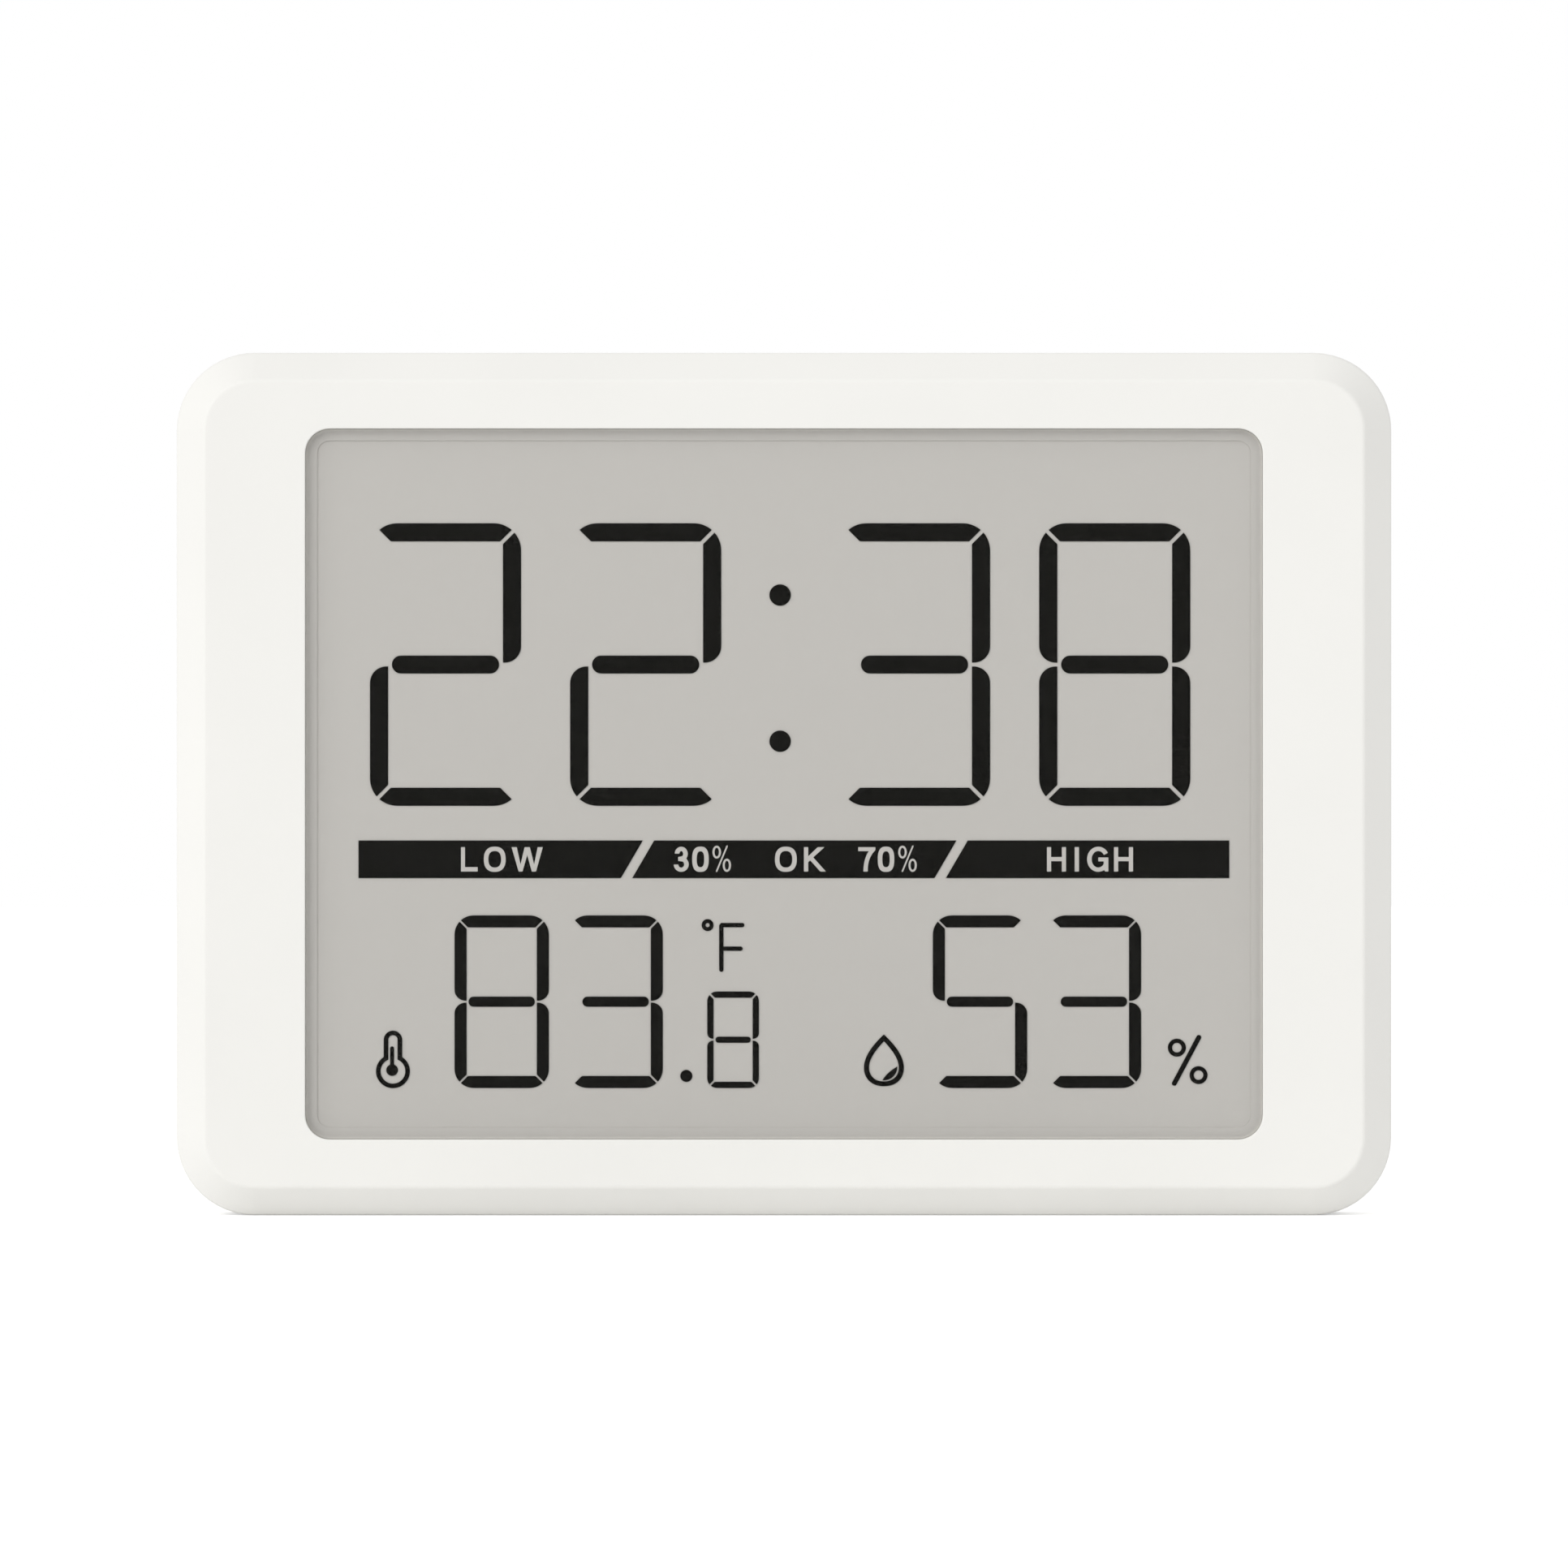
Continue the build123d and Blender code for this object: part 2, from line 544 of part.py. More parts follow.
def keyhole_outline(entry_radius, slot_width):
    """Round entry with a slot above it."""
    slot = Pos(0, KEYHOLE_Z + KEYHOLE_TRAVEL / 2) * Rectangle(slot_width, KEYHOLE_TRAVEL)
    slot += Pos(0, KEYHOLE_END_Z) * Circle(slot_width / 2)
    return slot + Pos(0, KEYHOLE_Z) * Circle(entry_radius)


def vent_slots():
    """Level slots of uneven length that fill a circle."""
    slots = Sketch()
    for i in range(VENT_COUNT):
        height = (i - (VENT_COUNT - 1) / 2) * VENT_PITCH
        length = 2 * math.sqrt(VENT_RADIUS**2 - height**2)
        slots += Pos(BAY_X, height) * SlotOverall(length, VENT_WIDTH)
    return slots


def rear_cover():
    """Rear casing with its tongue, stand recess, cell well, keyhole, vents and screw posts."""
    body = slab(casing_outline(), PARTING_DEPTH, CASE_DEPTH)
    body = fillet(back_edges(body), REAR_EDGE_RADIUS)
    body = chamfer(front_edges(body), PARTING_CHAMFER)
    body -= slab(casing_outline(COVER_INSET), PARTING_DEPTH, REAR_INNER)
    tongue_outline = casing_outline(TONGUE_INSET) - casing_outline(COVER_INSET)
    tongue = slab(tongue_outline, PARTING_DEPTH - TONGUE_REACH, PARTING_DEPTH)
    for x, z in COVER_BOSSES:
        tongue -= disc(COVER_BOSS_RADIUS + COVER_BOSS_GAP, 0, PARTING_DEPTH, x, z)
    for x, z in BOARD_BOSSES:
        tongue -= disc(BOARD_HEAD_RADIUS + BOARD_HEAD_GAP, 0, PARTING_DEPTH, x, z)
    body += tongue

    inside = slab(casing_outline(SIDE_WALL / 2), PARTING_DEPTH, REAR_INNER)
    for x, z in COVER_BOSSES:
        body += disc(COVER_BOSS_RADIUS, PARTING_DEPTH, REAR_INNER, x, z) & inside
    body += stand_housing()
    body = door_well(body)
    pocket = keyhole_outline(KEYHOLE_POCKET_RADIUS, 2 * KEYHOLE_POCKET_RADIUS)
    pocket_wall_radius = KEYHOLE_POCKET_RADIUS + POCKET_WALL
    pocket_walls = keyhole_outline(pocket_wall_radius, 2 * pocket_wall_radius)
    pocket_floor = REAR_INNER - KEYHOLE_ROOM
    room = slab(casing_outline(TONGUE_INSET), pocket_floor - KEYHOLE_FLOOR, REAR_INNER)
    body += slab(pocket_walls, pocket_floor - KEYHOLE_FLOOR, REAR_INNER) & room
    body -= slab(pocket, pocket_floor, REAR_INNER)
    for x in (-BAY_X, BAY_X):
        inner = MAGNET_RADIUS + MAGNET_GAP
        body += ring(inner, MAGNET_RING_RADIUS, REAR_INNER - MAGNET_THICKNESS, REAR_INNER, x, MAGNET_Z)

    body -= stand_recess()
    body -= slab(keyhole_outline(KEYHOLE_RADIUS, KEYHOLE_SLOT_WIDTH), REAR_INNER, CASE_DEPTH)
    body -= slab(vent_slots(), REAR_INNER, CASE_DEPTH)
    for x in BUTTON_PLACES.values():
        body -= disc(BUTTON_RADIUS + BUTTON_GAP, REAR_INNER, CASE_DEPTH, x, BUTTON_Z)
    for x, z in COVER_BOSSES:
        body -= disc(COVER_SCREW_RADIUS + SCREW_CLEARANCE, PARTING_DEPTH, SCREW_SEAT, x, z)
        body -= disc(COVER_HEAD_RADIUS + COVER_HEAD_GAP, SCREW_SEAT, CASE_DEPTH, x, z)
    return body


def stand():
    """Fold-out plate with a heel above its hinge that stops it, stub pins and finger grooves."""
    top = STAND_AXIS_Z + HEEL_REACH
    half_width = STAND_WIDTH / 2
    plate = slab(stand_outline(half_width, STAND_END_Z, top, STAND_CORNER_RADIUS), STAND_FRONT, STAND_BACK)
    plate = fillet(back_edges(plate), STAND_EDGE_RADIUS)
    pocket_bottom = STAND_END_Z + STAND_POCKET_MARGIN
    pocket_top = STAND_AXIS_Z - STAND_THICKNESS
    pocket_half = half_width - STAND_POCKET_MARGIN
    pocket = stand_outline(pocket_half, pocket_bottom, pocket_top, STAND_CORNER_RADIUS / 2)
    plate -= slab(pocket, STAND_FRONT, STAND_FRONT + STAND_POCKET_DEPTH)
    for i in range(GRIP_COUNT):
        height = STAND_END_Z + GRIP_MARGIN + i * GRIP_PITCH
        groove = Pos(0, height) * SlotOverall(FINGER_NOTCH_WIDTH, GRIP_WIDTH)
        plate -= slab(groove, STAND_BACK - GRIP_DEPTH, STAND_BACK)
    return plate + hinge_bar(PIN_RADIUS, 2 * (RECESS_HALF + PIN_GRIP))


def battery_door():
    """Round door with a coin slot, a hub around the cell and three lugs."""
    door = disc(DOOR_RADIUS, DOOR_FRONT, DOOR_BACK, -BAY_X)
    door = chamfer(back_edges(door), DOOR_EDGE_CHAMFER)
    door += ring(HUB_INNER, HUB_OUTER, LUG_FRONT, DOOR_FRONT, -BAY_X)
    lugs = Pos(-BAY_X, 0) * door_lugs(LUG_SWEEP, HUB_INNER + HUB_WALL / 2, LUG_OUTER)
    door += slab(lugs, LUG_FRONT, LUG_BACK)
    door += disc(DOOR_PAD_RADIUS, COIN_BACK + DOOR_PAD_GAP, DOOR_FRONT, -BAY_X)
    slot = Pos(-BAY_X, 0) * SlotOverall(COIN_SLOT_LENGTH, COIN_SLOT_WIDTH)
    door -= slab(slot, DOOR_BACK - COIN_SLOT_DEPTH, DOOR_BACK)
    pointer = Pos(-BAY_X, DOOR_RADIUS - MARK_MARGIN) * Circle(MARK_RADIUS)
    return door - slab(pointer, DOOR_BACK - MARK_DEPTH, DOOR_BACK)


def button_mark(name):
    """Sign sunk into a button: arrows for up and down, a ring for set."""
    if name == "set":
        return Circle(BUTTON_MARK_RADIUS) - Circle(BUTTON_MARK_RADIUS / 2)
    turn = 90 if name == "up" else -90
    return RegularPolygon(BUTTON_MARK_RADIUS, 3, rotation=turn)


def button(name):
    """Push button whose flange keeps it behind the rear wall, with a post onto its switch."""
    x = BUTTON_PLACES[name]
    flange_back = REAR_INNER - BUTTON_FLANGE_GAP
    flange_front = flange_back - BUTTON_FLANGE_THICKNESS
    top = CASE_DEPTH - BUTTON_INSET
    cap = disc(BUTTON_RADIUS, flange_back, top, x, BUTTON_Z)
    cap = fillet(back_edges(cap), BUTTON_EDGE_RADIUS)
    cap += disc(FLANGE_RADIUS, flange_front, flange_back, x, BUTTON_Z)
    cap += disc(BUTTON_POST_RADIUS, STEM_BACK, flange_front, x, BUTTON_Z)
    return cap - slab(Pos(x, BUTTON_Z) * button_mark(name), top - MARK_DEPTH, top)


def switch_stem(name):
    """Plunger of one push switch."""
    return disc(STEM_RADIUS, SWITCH_BACK - STEM_ENGAGEMENT, STEM_BACK, BUTTON_PLACES[name], BUTTON_Z)


def switch_bodies():
    """Housings of the three push switches on the back of the board."""
    bodies = []
    for x in BUTTON_PLACES.values():
        housing = slab(Pos(x, BUTTON_Z) * Rectangle(SWITCH_SIDE, SWITCH_SIDE), BOARD_BACK, SWITCH_BACK)
        bore_floor = BOARD_BACK + SWITCH_FLOOR
        bodies.append(housing - disc(STEM_RADIUS + STEM_GAP, bore_floor, SWITCH_BACK, x, BUTTON_Z))
    return bodies


def main_board():
    """Circuit board, notched at the corners for the bosses and slotted around the sensor."""
    outline = Rectangle(BOARD_WIDTH, BOARD_HEIGHT)
    reach = COVER_BOSS_RADIUS + BOARD_NOTCH_GAP
    notch_width = BOARD_WIDTH / 2 - COVER_BOSS_X + reach
    notch_height = BOARD_HEIGHT / 2 - COVER_BOSS_Z + reach
    for side in (-1, 1):
        for end in (-1, 1):
            x = side * (BOARD_WIDTH - notch_width) / 2
            z = end * (BOARD_HEIGHT - notch_height) / 2
            outline -= Pos(x, z) * Rectangle(notch_width, notch_height)
    for x, z in BOARD_BOSSES:
        outline -= Pos(x, z) * Circle(BOARD_SCREW_RADIUS + SCREW_CLEARANCE)
    slot_reach = SENSOR_SIDE / 2 + SENSOR_SLOT_GAP
    slot_length = 2 * slot_reach + SENSOR_SLOT_WIDTH
    for height in (-slot_reach, slot_reach):
        outline -= Pos(BAY_X, height) * Rectangle(slot_length, SENSOR_SLOT_WIDTH)
    outline -= Pos(BAY_X - slot_reach, 0) * Rectangle(SENSOR_SLOT_WIDTH, slot_length)
    return slab(outline, BOARD_FRONT, BOARD_BACK)


def climate_sensor():
    """Sensor chip with a round air port."""
    top = BOARD_BACK + SENSOR_HEIGHT
    chip = slab(Pos(BAY_X, 0) * Rectangle(SENSOR_SIDE, SENSOR_SIDE), BOARD_BACK, top)
    return chip - disc(SENSOR_PORT_RADIUS, top - SENSOR_HEIGHT / 2, top, BAY_X)


def controller_blob():
    """Drop of resin over the controller chip."""
    drop = disc(BLOB_RADIUS, BOARD_BACK, BOARD_BACK + BLOB_HEIGHT, 0, -BLOB_DROP)
    return fillet(back_edges(drop), BLOB_HEIGHT * BLOB_ROUNDING)


def timing_crystal():
    """Can of the watch crystal, lying on the board."""
    centre = (BAY_X, BOARD_BACK + CRYSTAL_RADIUS - CASE_DEPTH / 2, CASE_HEIGHT / 2 - CRYSTAL_DROP)
    return Pos(*centre) * Rot(0, 90, 0) * Cylinder(CRYSTAL_RADIUS, CRYSTAL_LENGTH)


def chip_components():
    """Small soldered parts in a column on each side of the controller."""
    chips = []
    for x in (-CHIP_OFFSET, CHIP_OFFSET):
        for i in range(CHIP_ROWS):
            z = (i - (CHIP_ROWS - 1) / 2) * CHIP_PITCH - BLOB_DROP
            outline = Pos(x, z) * Rectangle(CHIP_LENGTH, CHIP_WIDTH)
            chips.append(slab(outline, BOARD_BACK, BOARD_BACK + CHIP_HEIGHT))
    return chips


def lcd_segments():
    """Lit segments, printed on the front of the rear glass."""
    time_strokes = (TIME_STROKE, TIME_MIDDLE_STROKE, TIME_SEGMENT_GAP, TIME_CORNER_RADIUS)
    time_sizes = (TIME_WIDTH, TIME_HEIGHT, *time_strokes)
    reading_strokes = (READING_STROKE, READING_MIDDLE_STROKE, READING_SEGMENT_GAP, READING_CORNER_RADIUS)
    reading_sizes = (READING_WIDTH, READING_HEIGHT, *reading_strokes)
    tenth_strokes = (TENTH_STROKE, TENTH_MIDDLE_STROKE, READING_SEGMENT_GAP, TENTH_CORNER_RADIUS)
    tenth_sizes = (TENTH_WIDTH, TENTH_HEIGHT, *tenth_strokes)
    art = figures(HOURS_SHOWN, HOURS_X, TIME_Z, TIME_PITCH, time_sizes)
    art += figures(MINUTES_SHOWN, MINUTES_X, TIME_Z, TIME_PITCH, time_sizes)
    art += figures(DEGREES_SHOWN, DEGREES_X, READING_Z, READING_PITCH, reading_sizes)
    art += figures(HUMIDITY_SHOWN, HUMIDITY_X, READING_Z, READING_PITCH, reading_sizes)
    tenth_z = READING_BASE + TENTH_HEIGHT / 2
    art += figures(TENTH_SHOWN, DEGREES_X + TENTH_OFFSET, tenth_z, 0, tenth_sizes)
    art.append(Pos(DEGREES_X + DECIMAL_OFFSET, READING_BASE + READING_STROKE) * Circle(DECIMAL_RADIUS))
    colon_x = (HOURS_X + MINUTES_X) / 2
    for side in (-1, 1):
        colon_z = TIME_Z - COLON_DROP + side * COLON_SPACING / 2
        art.append(Pos(colon_x, colon_z) * Circle(COLON_RADIUS))
    art += comfort_bar()
    near = REAR_GLASS_FRONT - SEGMENT_THICKNESS
    return [slab(shape, near, REAR_GLASS_FRONT) for shape in art]


def figures(shown, x, z, pitch, sizes):
    """Lit segments of a row of figures, centred on a point."""
    shapes = []
    for i, figure in enumerate(shown):
        place = Pos(x + (i - (len(shown) - 1) / 2) * pitch, z)
        segments = seven_segments(*sizes)
        shapes += [place * segments[name] for name in LIT_SEGMENTS[figure]]
    return shapes


def seven_segments(width, height, stroke, middle_stroke, gap, corner_radius):
    """The seven segments of a figure centred on the origin, with mitred corners and a rounded outline."""
    right = width / 2
    top = height / 2
    mitre = gap / math.sqrt(2)
    outline = RectangleRounded(width, height, corner_radius)
    top_bar = outline & Polygon(
        (mitre - right, top),
        (right - mitre, top),
        (right - stroke - mitre, top - stroke),
        (stroke + mitre - right, top - stroke),
        align=None,
    )
    upper = {}
    for side in (-1, 1):
        inner = side * (right - stroke)
        outer = side * right
        upright = outline & Polygon(
            (outer, top - mitre),
            (outer, gap / 2),
            (inner, gap / 2),
            (inner, top - stroke - mitre),
            align=None,
        )
        foot = upright.vertices().sort_by_distance((outer, gap / 2, 0))[0]
        upper[side] = fillet(foot, stroke * SEGMENT_ROUNDING)
    half_turn = Rot(0, 0, 180)
    return {
        "a": top_bar,
        "b": upper[1],
        "c": half_turn * upper[-1],
        "d": half_turn * top_bar,
        "e": half_turn * upper[1],
        "f": upper[-1],
        "g": SlotOverall(width - 2 * (stroke + gap), middle_stroke),
    }


def comfort_bar():
    """Three fields of the comfort bar, split by slanted gaps."""
    low = BAR_Z - BAR_HEIGHT / 2
    high = BAR_Z + BAR_HEIGHT / 2
    lean = BAR_SLANT / 2
    lefts = [(BAR_LEFT, BAR_LEFT)]
    rights = []
    for split in (BAR_LEFT + BAR_FIRST_FIELD, BAR_RIGHT - BAR_LAST_FIELD):
        rights.append((split - lean - BAR_GAP / 2, split + lean - BAR_GAP / 2))
        lefts.append((split - lean + BAR_GAP / 2, split + lean + BAR_GAP / 2))
    rights.append((BAR_RIGHT, BAR_RIGHT))
    fields = []
    for left, right in zip(lefts, rights):
        corners = [(left[0], low), (right[0], low), (right[1], high), (left[1], high)]
        fields.append(Polygon(*corners, align=None))
    return fields


def pin_heights():
    """Heights of the pins in one row."""
    return [(i - (CLIP_COUNT - 1) / 2) * CLIP_PITCH for i in range(CLIP_COUNT)]


def display_pins(side):
    """Pins clipped round one side of the rear glass, with legs that end on the board."""
    edge = REAR_GLASS_WIDTH / 2
    clip_front = REAR_GLASS_FRONT - CLIP_THICKNESS
    clip_back = REFLECTOR_FRONT + CLIP_THICKNESS
    leaf = Pos(side * (edge + CLIP_THICKNESS / 2 - CLIP_GRIP / 2), 0)
    leaf *= Rectangle(CLIP_GRIP + CLIP_THICKNESS, CLIP_WIDTH)
    wrap = Pos(side * (edge + CLIP_THICKNESS / 2), 0) * Rectangle(CLIP_THICKNESS, CLIP_WIDTH)
    leg = Pos(side * (edge - CLIP_GRIP + CLIP_THICKNESS / 2), 0) * Rectangle(CLIP_THICKNESS, CLIP_WIDTH)
    pin = slab(leaf, clip_front, REAR_GLASS_FRONT) + slab(wrap, clip_front, clip_back)
    pin += slab(leaf, REFLECTOR_FRONT, clip_back) + slab(leg, REFLECTOR_FRONT, BOARD_FRONT)
    return [Pos(0, 0, height) * pin for height in pin_heights()]


def coin_cell():
    """Coin cell with its stepped negative cap towards the board."""
    can = disc(COIN_RADIUS, COIN_FRONT + COIN_STEP, COIN_BACK, -BAY_X)
    can = fillet(back_edges(can), COIN_EDGE_RADIUS)
    return can + disc(COIN_STEP_RADIUS, COIN_FRONT, COIN_FRONT + COIN_STEP, -BAY_X)


def cell_holder():
    """Ring on the board around the cell, open at the top for the positive contact."""
    body = ring(HOLDER_INNER, HOLDER_OUTER, BOARD_BACK, LUG_FRONT - LUG_TO_HOLDER, -BAY_X)
    gap = Pos(-BAY_X, HOLDER_OUTER) * Rectangle(CONTACT_WIDTH + 2 * HOLDER_SLOT_GAP, 4 * HOLDER_WALL)
    return body - slab(gap, BOARD_BACK, CASE_DEPTH)


def positive_contact():
    """Bent tab that touches the side of the cell."""
    low = COIN_RADIUS + CONTACT_TOUCH
    blade = Pos(-BAY_X, low + CONTACT_SHEET / 2) * Rectangle(CONTACT_WIDTH, CONTACT_SHEET)
    foot = Pos(-BAY_X, low + CONTACT_FOOT / 2) * Rectangle(CONTACT_WIDTH, CONTACT_FOOT)
    tab = slab(blade, BOARD_BACK, LUG_FRONT - LUG_TO_HOLDER)
    return tab + slab(foot, BOARD_BACK, BOARD_BACK + CONTACT_SHEET)


def negative_contact():
    """Bowed spring leaf under the cell."""
    foot = CONTACT_SPAN / 2
    peak = CONTACT_PEAK / 2
    top = COIN_FRONT - BOARD_BACK
    under = top - CONTACT_SHEET
    bow = Polygon((-foot, 0), (-peak, top), (peak, top), (foot, 0), align=None)
    hollow = Polygon((-peak - under, 0), (-peak, under), (peak, under), (peak + under, 0), align=None)
    origin = (-BAY_X, BOARD_BACK - CASE_DEPTH / 2, CASE_HEIGHT / 2 - CONTACT_WIDTH / 2)
    level = Plane(origin=origin, x_dir=(1, 0, 0), z_dir=(0, 0, 1))
    return extrude(level * (bow - hollow), amount=CONTACT_WIDTH)


def cross_recess(seat, x, z):
    """Cross cut in the head of a screw."""
    cross = Rectangle(2 * RECESS_ARM, RECESS_WIDTH) + Rectangle(RECESS_WIDTH, 2 * RECESS_ARM)
    return slab(Pos(x, z) * cross, seat - RECESS_DEPTH, seat)


def screws(places, seat, radius, length, head_radius, head_height):
    """Pan-head screws driven from the back."""
    group = []
    for x, z in places:
        head = disc(head_radius, seat, seat + head_height, x, z)
        head = fillet(back_edges(head), head_height / 2)
        shank = disc(radius, seat - length, seat, x, z)
        group.append(head + shank - cross_recess(seat + head_height, x, z))
    return group


def cover_screws():
    """Screws that hold the rear cover to the front casing."""
    head = (COVER_HEAD_RADIUS, COVER_HEAD_HEIGHT)
    return screws(COVER_BOSSES, SCREW_SEAT, COVER_SCREW_RADIUS, COVER_SCREW_LENGTH, *head)


def board_screws():
    """Screws that hold the board to the front casing."""
    head = (BOARD_HEAD_RADIUS, BOARD_HEAD_HEIGHT)
    return screws(BOARD_BOSSES, BOARD_BACK, BOARD_SCREW_RADIUS, BOARD_SCREW_LENGTH, *head)


def magnets():
    """Two discs glued inside the rear wall."""
    near = REAR_INNER - MAGNET_THICKNESS
    return [disc(MAGNET_RADIUS, near, REAR_INNER, x, MAGNET_Z) for x in (-BAY_X, BAY_X)]


def window_sheet(inset):
    """Outline that stands in the window, an inset from its edge all round."""
    width = WINDOW_WIDTH - 2 * inset
    height = WINDOW_HEIGHT - 2 * inset
    return RectangleRounded(width, height, WINDOW_CORNER_RADIUS - inset)


def lcd_edge_seal():
    """Seal that closes the crystal gap all round, and stands out under the edge of the front glass."""
    outside = window_sheet(WINDOW_GLASS_GAP - SEAL_OVERHANG)
    inside = window_sheet(WINDOW_GLASS_GAP + SEAL_WIDTH)
    return slab(outside - inside, CRYSTAL_FRONT + SEAL_BOND, REAR_GLASS_FRONT - SEAL_BOND)


def all_pieces():
    """Every piece of the clock by its name."""
    film_sheet = window_sheet(WINDOW_GLASS_GAP + FILM_MARGIN)
    front_sheet = window_sheet(WINDOW_GLASS_GAP)
    rear_sheet = Rectangle(REAR_GLASS_WIDTH, REAR_GLASS_HEIGHT)
    reflector_sheet = Rectangle(REFLECTOR_WIDTH, REAR_GLASS_HEIGHT)
    pieces = {
        "front_shell": front_shell(),
        "rear_cover": rear_cover(),
        "stand": stand(),
        "battery_door": battery_door(),
        "switch_bodies": switch_bodies(),
        "main_board": main_board(),
        "climate_sensor": climate_sensor(),
        "controller_blob": controller_blob(),
        "timing_crystal": timing_crystal(),
        "chip_components": chip_components(),
        "lcd_front_polarizer": slab(film_sheet, POLARIZER_FRONT, POLARIZER_BACK),
        "lcd_front_glass": slab(front_sheet, GLASS_FRONT, CRYSTAL_FRONT),
        "lcd_edge_seal": lcd_edge_seal(),
        "lcd_segments": lcd_segments(),
        "lcd_rear_glass": slab(rear_sheet, REAR_GLASS_FRONT, REFLECTOR_FRONT),
        "lcd_reflector": slab(reflector_sheet, REFLECTOR_FRONT, DISPLAY_BACK),
        "left_display_pins": display_pins(-1),
        "right_display_pins": display_pins(1),
        "coin_cell": coin_cell(),
        "cell_holder": cell_holder(),
        "positive_contact": positive_contact(),
        "negative_contact": negative_contact(),
        "cover_screws": cover_screws(),
        "board_screws": board_screws(),
        "magnets": magnets(),
    }
    for name in BUTTON_PLACES:
        pieces[f"{name}_button"] = button(name)
        pieces[f"{name}_switch_stem"] = switch_stem(name)
    return pieces


def write_steps():
    """Writes each piece, or group of like pieces, to its own file."""
    os.makedirs("parts", exist_ok=True)
    for name, shape in all_pieces().items():
        solids = shape if isinstance(shape, list) else [shape]
        bodies = [solid for piece in solids for solid in piece.solids()]
        whole = bodies[0] if len(bodies) == 1 else Compound(children=bodies)
        whole.label = name
        export_step(whole, f"parts/{name}.step")


write_steps()
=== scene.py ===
import json
import math

import bmesh
import bpy
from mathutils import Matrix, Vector
from mathutils.geometry import tessellate_polygon


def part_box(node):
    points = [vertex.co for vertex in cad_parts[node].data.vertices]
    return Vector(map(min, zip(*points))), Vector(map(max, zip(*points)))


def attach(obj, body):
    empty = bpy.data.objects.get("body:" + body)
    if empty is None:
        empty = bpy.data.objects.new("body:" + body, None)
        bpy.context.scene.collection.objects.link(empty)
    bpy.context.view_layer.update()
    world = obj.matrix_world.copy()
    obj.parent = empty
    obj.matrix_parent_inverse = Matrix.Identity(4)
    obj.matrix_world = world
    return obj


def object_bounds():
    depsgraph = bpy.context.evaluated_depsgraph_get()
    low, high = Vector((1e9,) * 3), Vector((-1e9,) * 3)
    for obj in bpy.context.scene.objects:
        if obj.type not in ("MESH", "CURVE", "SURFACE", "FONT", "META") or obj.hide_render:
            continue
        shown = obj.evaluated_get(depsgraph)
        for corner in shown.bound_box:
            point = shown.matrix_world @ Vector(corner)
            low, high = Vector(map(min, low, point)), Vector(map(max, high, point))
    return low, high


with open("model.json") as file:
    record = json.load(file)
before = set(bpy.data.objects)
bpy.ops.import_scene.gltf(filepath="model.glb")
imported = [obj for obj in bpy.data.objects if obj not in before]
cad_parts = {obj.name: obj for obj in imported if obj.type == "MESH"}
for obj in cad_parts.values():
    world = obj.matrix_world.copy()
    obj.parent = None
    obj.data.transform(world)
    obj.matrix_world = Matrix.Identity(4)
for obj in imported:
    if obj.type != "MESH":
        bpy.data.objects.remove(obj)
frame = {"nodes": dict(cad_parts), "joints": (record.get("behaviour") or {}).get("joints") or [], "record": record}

# Looks of a slim table and wall clock: matt white casing, recessed reflective display.
# Metres, in the same frame as the solids: front towards -Y, standing on Z = 0.

cad_low, cad_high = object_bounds()
centre = (cad_low + cad_high) / 2
scene = bpy.context.scene
scene.view_settings.view_transform = "Standard"

# View: head-on, with the whole square frame as wide as FRAME_WIDTH at the casing's widest outline,
# which starts behind its bevel; the sensor is in millimetres
FRAME_WIDTH = 0.12728
SENSOR = 36.0
CAMERA_DISTANCE = 1.2
BEVEL_WIDTH = 0.0023

# Light: an even surround, and a distant lamp from the upper left in front, KEY_ANGLE degrees wide
SURROUND = 0.722
KEY_DIRECTION = Vector((-0.214, -0.27, 0.109))
KEY_ANGLE = 70.0
KEY_LEVEL = 1.26

# Floor: a hair under the clock's underside, so that the two never share a plane
FLOOR_SIZE = 6.0
FLOOR_DROP = 0.00002
FLOOR_WHITE = 0.96
FLOOR_GLOW = 0.42

# Noise: nearly all its values lie in the middle half of its range
NOISE_LOW = 0.25
NOISE_HIGH = 0.75
MOTTLE_DETAIL = 3.0
GRAIN_DETAIL = 2.0
EVEN = (1.0, 1.0, 1.0)

# Display art is laid out on a grid of small units: one unit is ART_UNIT, and the middle of the
# casing is at (ART_X, ART_Y), with x to the right and y down
ART_UNIT = 0.000065805
ART_X = 966.0
ART_Y = 966.0
WORD_THICKNESS = 0.00002
SAME_SPOT = 1e-7

# Words of the comfort bar: top and height of all letters, and the left edge of each
WORD_TOP = 1043.83
LETTER_HEIGHT = 30.0
BAR_WORDS = {
    "word_low": (("L", 568.0), ("O", 596.2), ("W", 630.3)),
    "word_lower_limit": (("3", 829.9), ("0", 853.0), ("%", 877.9)),
    "word_ok": (("O", 954.9), ("K", 990.6)),
    "word_upper_limit": (("7", 1057.5), ("0", 1081.65), ("%", 1106.8)),
    "word_high": (("H", 1290.0), ("I", 1324.2), ("G", 1339.4), ("H", 1372.6)),
}

# Thermometer sign: a tube over a bulb, as the outside and inside of its stroke, and the liquid
THERMOMETER_X = 484.15
BULB_Y = 1319.9
TUBE_OUTSIDE = {"bulb": 20.9, "half_tube": 11.4, "tube_y": 1281.3}
TUBE_INSIDE = {"bulb": 15.25, "half_tube": 5.65, "tube_y": 1281.15}
LIQUID_X = 483.1
LIQUID_Y = 1318.5
LIQUID_BULB = 7.25
LIQUID_NECK = 20.0
LIQUID_HALF = 2.45
LIQUID_TOP_Y = 1291.7

